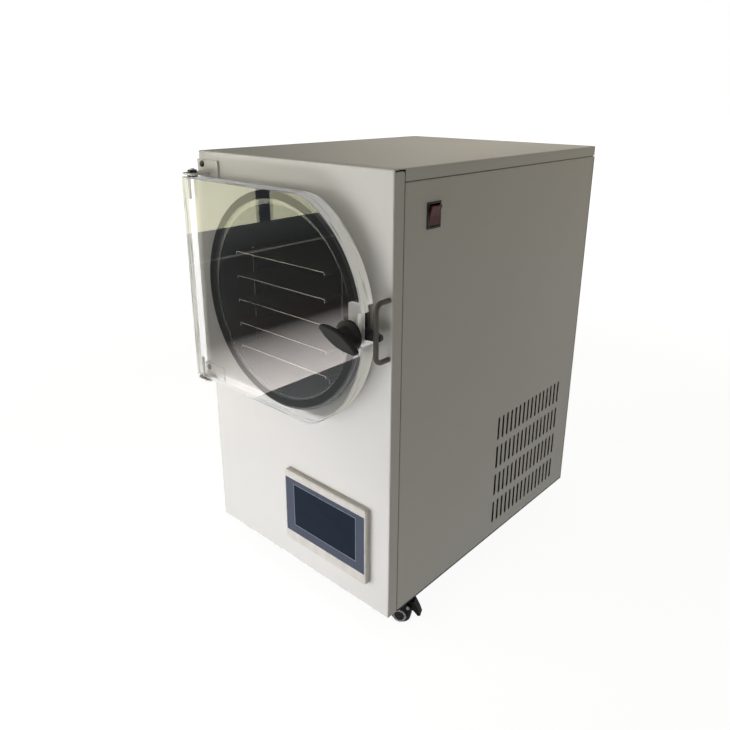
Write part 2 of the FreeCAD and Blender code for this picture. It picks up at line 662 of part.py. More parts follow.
def hinge_washers():
    """Thrust washers between the door's edges and the ears."""
    return round_both_pins(lambda place, height: cylinder(HINGE_WASHER_R, place, Z_AXIS, height),
                           DOG_GAP, HINGE_WASHER_T)


def hinge_nuts():
    """Nuts on the far side of the ears."""
    ear_end = HINGE_WASHER_T + EAR_T
    return round_both_pins(lambda place, height: hexagon(HINGE_NUT_AF, place, Z_AXIS, height),
                           ear_end, ear_end + HINGE_NUT_T)


# ---- latch ---------------------------------------------------------------------------
def strike_bar():
    """Round rod bent to a flat U, welded to the front panel."""
    x = STRIKE_X
    reach = -STRIKE_REACH
    bend = STRIKE_BEND_R
    low, high = STRIKE_LOW_Z, STRIKE_HIGH_Z
    part = bend * (1 - math.cos(math.radians(45)))
    edges = [
        Part.LineSegment(V(x, 0, low), V(x, reach + bend, low)).toShape(),
        Part.Arc(V(x, reach + bend, low), V(x, reach + part, low + part),
                 V(x, reach, low + bend)).toShape(),
        Part.LineSegment(V(x, reach, low + bend), V(x, reach, high - bend)).toShape(),
        Part.Arc(V(x, reach, high - bend), V(x, reach + part, high - part),
                 V(x, reach + bend, high)).toShape(),
        Part.LineSegment(V(x, reach + bend, high), V(x, 0, high)).toShape(),
    ]
    circle = Part.Wire(Part.makeCircle(STRIKE_ROD_R, V(x, 0, low), Y_AXIS))
    return Part.Wire(edges).makePipeShell([circle], True, True)


def latch_bush():
    """Flanged bearing for the latch shaft, pressed into the door."""
    length = POCKET_Y - DOOR_FRONT_Y
    profile = [(SHAFT_R + RUNNING_GAP, -BUSH_FLANGE_T), (BUSH_FLANGE_R, -BUSH_FLANGE_T), (BUSH_FLANGE_R, 0),
               (BUSH_R, 0), (BUSH_R, length), (SHAFT_R + RUNNING_GAP, length)]
    return revolve_y([(r, DOOR_FRONT_Y + y) for r, y in profile], LATCH_X, LATCH_Z)


def latch_shaft():
    """Shaft from inside the knob to the back face of the dog."""
    front = KNOB_BACK_Y - SHAFT_IN_KNOB
    return cylinder(SHAFT_R, (LATCH_X, front, LATCH_Z), Y_AXIS, DOG_FRONT_Y + DOG_T - front)


def latch_dog():
    """Tapered finger that swings behind the strike bar."""
    x, z, y = LATCH_X, LATCH_Z, DOG_FRONT_Y
    tip = x + DOG_REACH
    edges = [
        Part.Arc(V(x, y, z + DOG_ROOT_R), V(x - DOG_ROOT_R, y, z), V(x, y, z - DOG_ROOT_R)).toShape(),
        Part.LineSegment(V(x, y, z - DOG_ROOT_R), V(tip - 2, y, z - DOG_TIP_HALF)).toShape(),
        Part.Arc(V(tip - 2, y, z - DOG_TIP_HALF), V(tip, y, z), V(tip - 2, y, z + DOG_TIP_HALF)).toShape(),
        Part.LineSegment(V(tip - 2, y, z + DOG_TIP_HALF), V(x, y, z + DOG_ROOT_R)).toShape(),
    ]
    blank = Part.Face(Part.Wire(edges)).extrude(V(0, DOG_T, 0))
    return blank.cut(cylinder(SHAFT_R, (x, y - 1, z), Y_AXIS, DOG_T + 2))


def wing_outline(y, inset):
    """Leaf-shaped outline of the knob's grip at a depth y, drawn in by inset."""
    half_l = KNOB_WING_L / 2 - inset
    half_w = KNOB_WING_W / 2 - inset
    r = KNOB_TIP_R - inset
    tip_x = KNOB_WING_L / 2 - KNOB_TIP_R
    upper_left, upper_right = V(-tip_x, y, r), V(tip_x, y, r)
    lower_left, lower_right = V(-tip_x, y, -r), V(tip_x, y, -r)
    return Part.Wire([
        Part.Arc(upper_left, V(0, y, half_w), upper_right).toShape(),
        Part.Arc(upper_right, V(half_l, y, 0), lower_right).toShape(),
        Part.Arc(lower_right, V(0, y, -half_w), lower_left).toShape(),
        Part.Arc(lower_left, V(-half_l, y, 0), upper_left).toShape(),
    ])


def latch_knob():
    """Wing knob: a tapered hub with a leaf-shaped grip across its end."""
    y = KNOB_BACK_Y
    neck_y = y - KNOB_HUB_H
    front = neck_y - KNOB_WING_T
    waist_r = KNOB_BASE_R * 0.72
    hub = revolve_y([(0, y), (KNOB_BASE_R, y), (KNOB_BASE_R, y - KNOB_SKIRT),
                     (waist_r, y - KNOB_HUB_H * 0.45), (KNOB_NECK_R, neck_y), (0, neck_y)], 0, 0)
    bevel = KNOB_BEVEL
    sections = [wing_outline(neck_y, 0), wing_outline(front + bevel, 0), wing_outline(front, bevel)]
    wing = Part.makeLoft(sections, True, True)
    wing.rotate(V(0, 0, 0), Y_AXIS, -KNOB_TILT)
    stub = cylinder(SHAFT_R, (0, y - SHAFT_IN_KNOB, 0), Y_AXIS, SHAFT_IN_KNOB + 1)
    return fuse([hub, wing]).cut(stub).translated(V(LATCH_X, 0, LATCH_Z))


# ---- touch panel ---------------------------------------------------------------------
def panel_bezel():
    """Moulded frame of the touch panel: raised rim, seat of its glass, groove round the side."""
    front_y = -PANEL_PROUD
    sides = ("-y", "+y")
    body = rounded_box(*centred(PANEL_X, PANEL_Z, PANEL_W, PANEL_H, front_y, 0), PANEL_CORNER_R, sides)
    front = [e for e in body.Edges if abs(e.BoundBox.YMax - front_y) < 1e-3]
    body = body.makeChamfer(1.6, front)
    low, high = PANEL_GROOVE_Y, PANEL_GROOVE_Y + PANEL_GROOVE
    core_w, core_h = PANEL_W - 2 * PANEL_GROOVE, PANEL_H - 2 * PANEL_GROOVE
    groove = box(*centred(PANEL_X, PANEL_Z, PANEL_W + 2, PANEL_H + 2, low, high))
    groove = groove.cut(rounded_box(*centred(PANEL_X, PANEL_Z, core_w, core_h, low, high),
                                    PANEL_CORNER_R - PANEL_GROOVE, sides))
    seat = box(*centred(PANEL_X, GLASS_Z, GLASS_W + SEAT, GLASS_H + SEAT, front_y - 1, front_y + GLASS_T))
    through = box(*centred(PANEL_X, PANEL_Z, HOUSING_W - 14, HOUSING_H - 40, front_y - 1, 1))
    return body.cut(Part.Compound([seat, through])).cut(groove)


def panel_glass():
    """Dark overlay with the display's window."""
    glass = box(*centred(PANEL_X, GLASS_Z, GLASS_W, GLASS_H, -PANEL_PROUD, -PANEL_PROUD + GLASS_T))
    window = box(*centred(DISPLAY_X, DISPLAY_Z, DISPLAY_W, DISPLAY_H, -PANEL_PROUD - 1, 1))
    return glass.cut(window)


def panel_display():
    back_y = -PANEL_PROUD + GLASS_T
    return box(*centred(DISPLAY_X, DISPLAY_Z, DISPLAY_W, DISPLAY_H, -PANEL_PROUD + DISPLAY_SUNK, back_y))


def panel_housing():
    """Rear box of the touch panel, through the cut-out in the front."""
    return pan(*centred(PANEL_X, PANEL_Z, HOUSING_W, HOUSING_H, 0, HOUSING_D), 2.5, ("-y",), bend=0)


# ---- mains switch --------------------------------------------------------------------
def switch_block(width, height, x0, x1):
    """Block round the switch's middle, between two distances from the cabinet's middle."""
    low = (x0, SWITCH_Y - width / 2, SWITCH_Z - height / 2)
    return box(low, (x1, low[1] + width, low[2] + height))


def switch_body():
    """Switch case with its rim on the side panel and the cavity for the rocker."""
    rim = switch_block(SWITCH_W, SWITCH_H, HALF_W, HALF_W + SWITCH_RIM)
    back = HALF_W - SWITCH_BODY_D
    case = switch_block(SWITCH_W - 2 * SWITCH_LIP, SWITCH_H - 2 * SWITCH_LIP, back, HALF_W)
    cavity = switch_block(ROCKER_W + 2 * ROCKER_GAP, 2 * ROCKER_HALF_H + 3, back + 6, HALF_W + 5)
    return fuse([rim, case]).cut(cavity)


def switch_rocker():
    """Rocker with a dished face, upper half out."""
    h = ROCKER_HALF_H
    outline = [(-7, -4), (-4, -h + 2), (6, -h), (6.6, -h + 1), (5.2, -5), (4.8, 0), (5.2, 5), (6.6, h - 1),
               (6, h), (-4, h - 2), (-7, 4)]
    y0 = SWITCH_Y - ROCKER_W / 2
    wire = Part.makePolygon([V(x, y0, z) for x, z in outline + outline[:1]])
    rocker = Part.Face(wire).extrude(V(0, ROCKER_W, 0))
    rocker.rotate(V(0, 0, 0), Y_AXIS, ROCKER_TILT)
    rocker.translate(V(SWITCH_PIVOT_X, 0, SWITCH_Z))
    return rocker


# ---- refrigeration and control -------------------------------------------------------
def compressor():
    """Hermetic compressor: a tapered can on three rubber feet."""
    r, h = COMPRESSOR_R, COMPRESSOR_H
    base = BASE_T + COMPRESSOR_FOOT_H
    can = revolve_z([(0, base), (r, base), (r, base + h * 0.8), (r * 0.6, base + h), (0, base + h)],
                    COMPRESSOR_X, COMPRESSOR_Y)
    feet = []
    for i in range(3):
        angle = math.radians(90 + 120 * i)
        x = COMPRESSOR_X + r * math.cos(angle)
        y = COMPRESSOR_Y + r * math.sin(angle)
        feet.append(cylinder(COMPRESSOR_FOOT_R, (x, y, BASE_T), Z_AXIS, COMPRESSOR_FOOT_H + 4))
    return fuse([can] + feet)


def condenser():
    """Finned air-cooled block behind the air slots."""
    x1 = HALF_W - SHEET - CONDENSER_GAP
    x0 = x1 - CONDENSER_T
    length = SLOT_FIELD_L + 2 * CONDENSER_MARGIN
    y0 = SLOT_FIELD_Y - length / 2
    z0 = BASE_T
    z1 = SLOT_FIELD_Z + SLOT_FIELD_H / 2 + CONDENSER_MARGIN
    pitch = (length - 2 * FIN_BORDER) / CONDENSER_FINS
    block = box((x0, y0, z0), (x1, y0 + length, z1))
    groove = box((x1 - FIN_DEPTH, 0, z0 + FIN_BORDER), (x1 + 1, pitch - FIN_T, z1 - FIN_BORDER))
    grooves = [groove.translated(V(0, y0 + FIN_BORDER + i * pitch, 0)) for i in range(CONDENSER_FINS)]
    return block.cut(Part.Compound(grooves))


def fan_x():
    """Right face of the shroud plate, which is screwed to the condenser."""
    return HALF_W - SHEET - CONDENSER_GAP - CONDENSER_T - SEAT


def fan_shroud():
    """Shroud plate with its ring and the three-arm motor carrier."""
    x1 = fan_x()
    carrier_x = x1 - FAN_WIDTH - 2 * FAN_SIDE_GAP
    y, z = SLOT_FIELD_Y, SLOT_FIELD_Z
    ring_r = FAN_R + FAN_TIP_GAP
    half = ring_r + SHROUD_BORDER
    plate = box((x1 - SHROUD_T, y - half, z - half), (x1, y + half, z + half))
    ring = cylinder(ring_r + SHROUD_T, (carrier_x, y, z), X_AXIS, x1 - carrier_x)
    hole = cylinder(ring_r, (carrier_x - 1, y, z), X_AXIS, x1 - carrier_x + 2)
    arms = []
    for i in range(3):
        arm = box((carrier_x, -MOTOR_ARM_W / 2, MOTOR_R), (carrier_x + SHROUD_T, MOTOR_ARM_W / 2, ring_r + 1))
        arm.rotate(V(0, 0, 0), X_AXIS, 120 * i)
        arms.append(arm.translated(V(0, y, z)))
    collar = cylinder(MOTOR_R + SHROUD_T, (carrier_x, y, z), X_AXIS, SHROUD_T)
    collar = collar.cut(cylinder(MOTOR_R, (carrier_x - 1, y, z), X_AXIS, 5))
    return fuse([fuse([plate, ring]).cut(hole), collar] + arms)


def fan_motor():
    """Motor held in the carrier's collar, with its shaft through the rotor's hub."""
    front = fan_x() - FAN_WIDTH - 2 * FAN_SIDE_GAP + SHROUD_T
    y, z = SLOT_FIELD_Y, SLOT_FIELD_Z
    can = cylinder(MOTOR_R, (front - MOTOR_L, y, z), X_AXIS, MOTOR_L)
    shaft = cylinder(FAN_SHAFT_R, (front - 1, y, z), X_AXIS, FAN_WIDTH)
    return fuse([can, shaft])


def fan_rotor():
    """Hub with pitched blades trimmed to the fan's circle."""
    length = FAN_WIDTH - 2 * FAN_SIDE_GAP
    x0 = fan_x() - FAN_SIDE_GAP - length
    hub = cylinder(FAN_HUB_R, (x0, 0, 0), X_AXIS, length)
    span = cylinder(FAN_R, (x0, 0, 0), X_AXIS, length)
    flat = box((-FAN_CHORD / 2, -BLADE_T / 2, FAN_HUB_R - 4), (FAN_CHORD / 2, BLADE_T / 2, FAN_R + 10))
    flat.rotate(V(0, 0, 0), Z_AXIS, 90 - FAN_PITCH)
    blades = []
    for i in range(FAN_BLADES):
        blade = flat.translated(V(x0 + length / 2, 0, 0))
        blade.rotate(V(0, 0, 0), X_AXIS, i * 360 / FAN_BLADES)
        blades.append(blade.common(span))
    bore = cylinder(FAN_SHAFT_R + RUNNING_GAP, (x0 - 1, 0, 0), X_AXIS, length + 2)
    return fuse([hub] + blades).cut(bore).translated(V(0, SLOT_FIELD_Y, SLOT_FIELD_Z))


def control_box():
    """Electrical enclosure on the base pan, left of the touch panel."""
    low = (CONTROL_X - CONTROL_W / 2, CONTROL_Y, BASE_T)
    high = (CONTROL_X + CONTROL_W / 2, CONTROL_Y + CONTROL_D, BASE_T + CONTROL_H)
    return pan(low, high, SHEET, (), bend=0)


def vacuum_port():
    """Pipe from the chamber's end plate through the back panel to its clamp flange."""
    r0 = PORT_BORE_R
    r1 = r0 + PORT_WALL
    y0 = CHAMBER_LENGTH
    y1 = CABINET_D + PORT_OUT
    profile = [(r0, y0), (r1, y0), (r1, y1 - PORT_FLANGE_T), (PORT_FLANGE_R, y1 - PORT_FLANGE_T + 3),
               (PORT_FLANGE_R, y1), (r0, y1)]
    return revolve_y(profile, CHAMBER_X, CHAMBER_Z)


def power_inlet():
    """Three-pin appliance inlet in the back panel."""
    y0, y1 = CABINET_D, CABINET_D + INLET_RIM
    rim = rounded_box(*centred(INLET_X, INLET_Z, INLET_W, INLET_H, y0, y1), 3.0, ("+y", "-y"))
    inset = 2 * (INLET_LIP + SEAT)
    case = box(*centred(INLET_X, INLET_Z, INLET_W - inset, INLET_H - inset, y0 - INLET_DEPTH, y0))
    socket_y = y0 - INLET_SOCKET_DEPTH
    socket = box(*centred(INLET_X, INLET_Z, INLET_SOCKET_W, INLET_SOCKET_H, socket_y, y1 + 1))
    pins = [box(*centred(INLET_X + dx, INLET_Z + dz, 2.0, 5.0, socket_y - 1, y0 - 1))
            for dx, dz in ((-7, -2), (0, 2), (7, -2))]
    return fuse([fuse([rim, case]).cut(socket)] + pins)


# ---- casters -------------------------------------------------------------------------
def caster_place(side, back):
    """Swivel axis of a caster: side is +1 right or -1 left, back is 0 front or 1 rear."""
    x = side * (HALF_W - CASTER_INSET_X)
    y = CABINET_D - CASTER_INSET_Y if back else CASTER_INSET_Y
    return x, y


def caster_plates():
    """Four top plates, each with its headed kingpin."""
    half = CASTER_PLATE / 2
    plate = box((-half, -half, -CASTER_PLATE_T), (half, half, 0))
    top = -CASTER_PLATE_T
    bottom = top - SWIVEL_GAP - HEAD_T - SWIVEL_GAP
    kingpin = revolve_z([(0, top), (KINGPIN_R, top), (KINGPIN_R, bottom), (KINGPIN_R + 3, bottom),
                         (KINGPIN_R + 3, bottom - 2.5), (0, bottom - 2.5)], 0, 0)
    one = fuse([plate, kingpin])
    plates = []
    for _, side, back, _, _ in CASTERS:
        x, y = caster_place(side, back)
        plates.append(one.translated(V(x, y, 0)))
    return Part.Compound(plates)


def across(points, half_width):
    """Prism across the caster from (forward, height) corners in its trailing plane."""
    wire = Part.makePolygon([V(x, -half_width, z) for x, z in points + points[:1]])
    return Part.Face(wire).extrude(V(0, 2 * half_width, 0))


def caster_fork(brake):
    """Pressed fork with its swivel race and axle; a braked one also carries the pedal's pin."""
    head_z = -CASTER_PLATE_T - SWIVEL_GAP
    crown_z = head_z - HEAD_T
    cheek_in = WHEEL_W / 2 + CHEEK_GAP
    cheek_out = cheek_in + CHEEK_T
    z = WHEEL_Z
    front = [(TRAIL + 8, z - 2), (TRAIL + 8, z + 6), (CROWN_FRONT, crown_z)]
    if brake:
        px, pz = PEDAL_PIVOT
        front = [(TRAIL + 8, z - 2), (px + 3, pz - 5), (px + 5.5, pz), (px + 3, pz + 5),
                 (CROWN_FRONT, crown_z)]
    outline = [(CROWN_BACK, crown_z), (TRAIL - 8, z - 2), (TRAIL - 5, z - 7), (TRAIL + 5, z - 7)] + front
    room = box((-30, -cheek_in, -CASTER_H), (80, cheek_in, crown_z))
    cheeks = across(outline, cheek_out).cut(room)
    crown = box((CROWN_BACK, -cheek_out, crown_z), (CROWN_FRONT, cheek_out, crown_z + CROWN_T))
    race = cylinder(15, (0, 0, crown_z + CROWN_T), Z_AXIS, HEAD_T - CROWN_T)
    axle = cylinder(AXLE_R, (TRAIL, -cheek_out - 1, z), Y_AXIS, 2 * cheek_out + 2)
    parts = [cheeks, crown, race, axle]
    if brake:
        parts.append(cylinder(PEDAL_PIN_R, (px, -cheek_out - 1, pz), Y_AXIS, 2 * cheek_out + 2))
    bore = cylinder(KINGPIN_R + RUNNING_GAP, (0, 0, -30), Z_AXIS, 30)
    return fuse(parts).cut(bore)


def caster_wheel():
    """Moulded wheel: chamfered tread and a shallow recess round the hub on each face."""
    r, w = WHEEL_R, WHEEL_W / 2
    half = [(AXLE_R + RUNNING_GAP, w), (WHEEL_HUB_R, w), (WHEEL_HUB_R, w - 2), (WHEEL_RECESS_R, w - 2),
            (WHEEL_RECESS_R, w - 0.5), (r - 2.5, w - 0.5), (r, w - 3.5)]
    profile = [(radius, -y) for radius, y in half] + half[::-1]
    return revolve_y(profile, TRAIL, WHEEL_Z)


def brake_pedal():
    """Foot lever that clamps the tread, shown pressed down; its toe is narrower than the fork."""
    px, pz = PEDAL_PIVOT
    outline = [(-5, 7), (-1, 10), (9.5, 11.5), (15.3, 0.5), (19, -7.3), (21.5, -15), (16.7, -16.8),
               (12, -11.3), (8, -7), (3, -5.5), (-3, -3)]
    outline = [(px + x, pz + z) for x, z in outline]
    lever = across(outline, WHEEL_W / 2 - 1)
    toe_sides = box((px + 9, -20, pz - 30), (px + 30, 20, pz - 4)).cut(box((0, -7.5, -80), (90, 7.5, 0)))
    bore = cylinder(PEDAL_PIN_R + RUNNING_GAP, (px, -20, pz), Y_AXIS, 40)
    return lever.cut(Part.Compound([toe_sides, bore]))


def placed(shape, side, back, angle):
    """Turns a caster piece about its swivel axis and puts it under the cabinet."""
    x, y = caster_place(side, back)
    turned = shape.copy()
    turned.rotate(V(0, 0, 0), Z_AXIS, angle)
    return turned.translated(V(x, y, 0))


# ---- the whole machine ---------------------------------------------------------------
def machine():
    """All pieces by node name, in the modelling position."""
    parts = {
        "base_pan": base_pan(),
        "front_panel": front_panel(),
        "right_side_panel": side_panel(1),
        "left_side_panel": side_panel(-1),
        "back_panel": back_panel(),
        "top_lid": top_lid(),
        "cabinet_frame": cabinet_frame(),
        "equipment_deck": equipment_deck(),
        "chamber_shell": chamber_shell(),
        "chamber_end": chamber_end(),
        "chamber_insulation": chamber_insulation(),
        "chamber_saddles": chamber_saddles(),
        "door_gasket": door_gasket(),
        "shelf_rack": shelf_rack(),
        "door_slab": door_slab(),
        "hinge_bracket_upper": hinge_bracket(True),
        "hinge_bracket_lower": hinge_bracket(False),
        "hinge_pin_upper": hinge_pin(True),
        "hinge_pin_lower": hinge_pin(False),
        "hinge_washers": hinge_washers(),
        "hinge_nuts": hinge_nuts(),
        "strike_bar": strike_bar(),
        "latch_bush": latch_bush(),
        "latch_shaft": latch_shaft(),
        "latch_dog": latch_dog(),
        "latch_knob": latch_knob(),
        "panel_bezel": panel_bezel(),
        "panel_glass": panel_glass(),
        "panel_display": panel_display(),
        "panel_housing": panel_housing(),
        "switch_body": switch_body(),
        "switch_rocker": switch_rocker(),
        "compressor": compressor(),
        "condenser": condenser(),
        "fan_shroud": fan_shroud(),
        "fan_motor": fan_motor(),
        "fan_rotor": fan_rotor(),
        "control_box": control_box(),
        "vacuum_port": vacuum_port(),
        "power_inlet": power_inlet(),
        "caster_plates": caster_plates(),
    }
    for number in range(1, SHELF_COUNT + 1):
        parts["shelf_%d" % number] = shelf(number)
    wheel = caster_wheel()
    for name, side, back, angle, brake in CASTERS:
        parts["caster_fork_" + name] = placed(caster_fork(brake), side, back, angle)
        parts["caster_wheel_" + name] = placed(wheel, side, back, angle)
        if brake:
            parts["brake_pedal_" + name] = placed(brake_pedal(), side, back, angle)
    return parts


def floor_shift(parts):
    """Move that puts the origin on the floor under the middle of the whole machine."""
    bounds = Part.Compound(list(parts.values())).optimalBoundingBox(False)
    return V(-(bounds.XMin + bounds.XMax) / 2, -(bounds.YMin + bounds.YMax) / 2, -bounds.ZMin)


def main():
    os.makedirs("parts", exist_ok=True)
    parts = machine()
    shift = floor_shift(parts)
    for name, shape in parts.items():
        shape.translated(shift).exportStep("parts/%s.step" % name)
    print("%d nodes, shifted by %s" % (len(parts), shift))


if __name__ == "__main__":
    main()
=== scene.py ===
# %% [markdown]
# # A small freeze dryer
# The steel-and-acrylic machine arrives as a fixed model: every sheet, hinge, shelf and wheel has
# its place. This lesson gives it its finishes, adds the small hardware that a maker fits last, and
# sets up a plain studio round it. Nothing here changes a size. The pieces that arrive only get
# better finishes.

# %% Load the fixed model
import json
import math
import bpy
from mathutils import Matrix, Vector


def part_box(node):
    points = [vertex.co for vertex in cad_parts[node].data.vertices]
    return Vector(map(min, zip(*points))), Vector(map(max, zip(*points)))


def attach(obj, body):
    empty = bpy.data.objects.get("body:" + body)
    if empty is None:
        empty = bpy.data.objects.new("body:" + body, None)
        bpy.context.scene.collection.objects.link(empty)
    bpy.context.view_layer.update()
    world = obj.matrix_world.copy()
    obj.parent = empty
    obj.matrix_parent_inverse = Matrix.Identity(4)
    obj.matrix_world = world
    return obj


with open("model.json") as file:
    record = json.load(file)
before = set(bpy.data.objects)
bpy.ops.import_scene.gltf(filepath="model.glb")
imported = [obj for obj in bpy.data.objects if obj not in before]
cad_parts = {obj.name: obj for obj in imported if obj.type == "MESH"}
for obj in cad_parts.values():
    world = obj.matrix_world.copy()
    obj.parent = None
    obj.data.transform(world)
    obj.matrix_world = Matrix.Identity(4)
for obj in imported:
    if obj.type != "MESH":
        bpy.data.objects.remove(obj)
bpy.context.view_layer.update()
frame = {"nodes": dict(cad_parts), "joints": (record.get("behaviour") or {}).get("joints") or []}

nodes = frame["nodes"]
joints = {joint["name"]: joint for joint in frame["joints"]}

# %% [markdown]
# ## The reference point
# A sheet-metal shop measures a cabinet from its front face. The middle of the front panel's lower
# edge is therefore the point from which the camera, the lamps and the room are placed. If the
# cabinet gets another height or depth, they all move with it.

# %% Middle of the front panel's lower edge
front_low, front_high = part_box("front_panel")
home = Vector(((front_low.x + front_high.x) / 2, front_low.y, front_low.z))


def from_home(x, y, z):
    """A place given in metres to the right of, behind and above the reference point."""
    return home + Vector((x, y, z))


print("reference point:", [round(v, 4) for v in home])

# %% [markdown]
# ## The camera
# The machine is looked at from its front right corner and a little from above, about a metre away,
# so its upright edges run slightly together. A camera's own rotation is easiest to give as three
# turns: round the upright, then the tilt, then a small roll. A small shift moves the machine within
# the picture without tilting its edges further.

# %% Camera
CAMERA_PLACE = (0.8369, -0.7122, 0.8481)  # metres from the reference point
CAMERA_TURNS = (("Z", 42.32), ("X", 71.27), ("Z", 0.254))  # degrees
CAMERA_LENS, SENSOR_WIDTH = 33.558, 36  # millimetres
CAMERA_SHIFT = (-0.0084, -0.0571)  # shares of the picture's width
NEAREST = 0.02  # metres; nothing closer to the lens is drawn


def add_camera():
    bpy.ops.object.camera_add(location=from_home(*CAMERA_PLACE))
    camera = bpy.context.object
    camera.name = "front_right_camera"
    turn = Matrix.Identity(4)
    for axis, degrees in CAMERA_TURNS:
        turn = turn @ Matrix.Rotation(math.radians(degrees), 4, axis)
    camera.rotation_euler = turn.to_euler()
    camera.data.lens, camera.data.sensor_width = CAMERA_LENS, SENSOR_WIDTH
    camera.data.shift_x, camera.data.shift_y = CAMERA_SHIFT
    camera.data.clip_start = NEAREST
    bpy.context.scene.camera = camera
    return camera


camera = add_camera()
bpy.context.scene.view_settings.view_transform = "Standard"
print("camera:", [round(v, 3) for v in camera.location])

# %% [markdown]
# ## Helpers for nodes
# A finish is a small net of nodes. These helpers add one node, wire two sockets, do one sum, or mix
# two shaders, for a material as well as for the world, and keep the finishes below short.

# %% Helpers for nodes
def add_node(owner, kind, inputs=None, **settings):
    """New node in the net of a material or of the world."""
    node = owner.node_tree.nodes.new(kind)
    for key, value in settings.items():
        setattr(node, key, value)
    for key, value in (inputs or {}).items():
        node.inputs[key].default_value = value
    return node


def wire(owner, source, target):
    owner.node_tree.links.new(source, target)


def calculate(owner, operation, first, second=None):
    """One sum; first is a pattern, and second is a pattern, a number or nothing."""
    node = add_node(owner, "ShaderNodeMath", operation=operation)
    wire(owner, first, node.inputs[0])
    if isinstance(second, float):
        node.inputs[1].default_value = second
    elif second is not None:
        wire(owner, second, node.inputs[1])
    return node.outputs["Value"]


def product(owner, first, second):
    return calculate(owner, "MULTIPLY", first, second)


def spread(owner, pattern, low, high, first=0.0, last=1.0):
    """Spreads the part of a pattern between first and last over low to high."""
    node = add_node(owner, "ShaderNodeMapRange",
                    {"From Min": first, "From Max": last, "To Min": low, "To Max": high})
    wire(owner, pattern, node.inputs["Value"])
    return node.outputs["Result"]


def coordinate(owner, axis, kind="Object"):
    """One of the piece's own coordinates; in the world, kind Generated gives the view direction."""
    coordinates = add_node(owner, "ShaderNodeTexCoord")
    axes = add_node(owner, "ShaderNodeSeparateXYZ")
    wire(owner, coordinates.outputs[kind], axes.inputs["Vector"])
    return axes.outputs[axis]


def mix_shaders(owner, share, first, second):
    """The first shader where share is 0, the second where it is 1."""
    mix = add_node(owner, "ShaderNodeMixShader")
    wire(owner, share, mix.inputs["Fac"])
    wire(owner, first, mix.inputs[1])
    wire(owner, second, mix.inputs[2])
    return mix.outputs["Shader"]


print("node helpers ready")

# %% [markdown]
# ## Helpers for finishes
# No painted, rolled or moulded surface is quite even. Every finish below is therefore a Principled
# shader whose colour, gloss and small relief wander with a noise on the piece's own coordinates.
# One helper makes the shader and one the noise. The others send a pattern to colour, roughness or
# relief, mark a part of the piece, and give a marked part another colour.

# %% Helpers for procedural finishes
NOISE_LOW, NOISE_HIGH = 0.3, 0.7  # nearly all of a noise lies between these values


def finish(name, colour, roughness, metallic=0.0, sheen=0.5):
    """New material with its Principled shader; sheen is the strength of its plain mirror part."""
    material = bpy.data.materials.new(name)
    material.use_nodes = True
    surface = material.node_tree.nodes["Principled BSDF"]
    surface.inputs["Base Color"].default_value = (*colour, 1)
    surface.inputs["Roughness"].default_value = roughness
    surface.inputs["Metallic"].default_value = metallic
    surface.inputs["Specular IOR Level"].default_value = sheen
    return material, surface


def show(material, shader):
    """Makes a shader the one that the piece shows."""
    wire(material, shader, material.node_tree.nodes["Material Output"].inputs["Surface"])


def toned(colour, factor):
    """The same colour, darker or lighter."""
    return tuple(min(1, c * factor) for c in colour)


def place(material, stretch=(1, 1, 1)):
    """Object coordinates, optionally stretched."""
    coordinates = add_node(material, "ShaderNodeTexCoord")
    mapping = add_node(material, "ShaderNodeMapping", {"Scale": stretch})
    wire(material, coordinates.outputs["Object"], mapping.inputs["Vector"])
    return mapping.outputs["Vector"]


def noise(material, scale, detail=3.0, stretch=(1, 1, 1)):
    texture = add_node(material, "ShaderNodeTexNoise", {"Scale": scale, "Detail": detail})
    wire(material, place(material, stretch), texture.inputs["Vector"])
    return texture.outputs["Fac"]


def tones(material, surface, pattern, dark, light):
    """Lets the colour wander between two close tones."""
    ramp = add_node(material, "ShaderNodeValToRGB")
    stops = ramp.color_ramp.elements
    stops[0].position, stops[1].position = NOISE_LOW, NOISE_HIGH
    stops[0].color, stops[1].color = (*dark, 1), (*light, 1)
    wire(material, pattern, ramp.inputs["Fac"])
    wire(material, ramp.outputs["Color"], surface.inputs["Base Color"])


def gloss(material, surface, pattern, low, high):
    """Lets the roughness wander between two values."""
    roughness = spread(material, pattern, low, high, NOISE_LOW, NOISE_HIGH)
    wire(material, roughness, surface.inputs["Roughness"])


def relief(material, surface, pattern, depth, strength):
    """Small bumps; depth is in metres."""
    bump = add_node(material, "ShaderNodeBump", {"Distance": depth, "Strength": strength})
    wire(material, pattern, bump.inputs["Height"])
    wire(material, bump.outputs["Normal"], surface.inputs["Normal"])


def between(material, axis, low, high):
    """1 where the piece's own coordinate on one axis lies between two values, else 0."""
    offset = calculate(material, "SUBTRACT", coordinate(material, axis), (low + high) / 2)
    distance = calculate(material, "ABSOLUTE", offset)
    return calculate(material, "LESS_THAN", distance, (high - low) / 2)


def recolour(material, surface, mask, colour):
    """Gives the surface another colour where the mask is 1."""
    mix = add_node(material, "ShaderNodeMix", data_type="RGBA")
    wire(material, surface.inputs["Base Color"].links[0].from_socket, mix.inputs["A"])
    mix.inputs["B"].default_value = (*colour, 1)
    wire(material, mask, mix.inputs["Factor"])
    wire(material, mix.outputs["Result"], surface.inputs["Base Color"])


finishes = {}
print("finish helpers ready")

# %% [markdown]
# ## Powder coat
# The cabinet, its lid and the hinge plates are baked in a warm white powder. Powder melts into a
# skin with a slight orange-peel relief about a millimetre across, and its gloss is never quite
# even. Fine noise gives the relief, and a broad noise moves the tone by one or two percent.
# Whatever lies deeper than a sheet's thickness behind the outer skin, inside the cabinet, is
# coloured near black as painted shade, and that painted shade is why the cooling slots look black.

# %% Powder-coated sheet
SKIN = 0.00115  # metres; what lies deeper behind the outer faces is inside the cabinet
NO_LOWER_END = 1.0  # metres below the front panel: the inside is open towards the floor


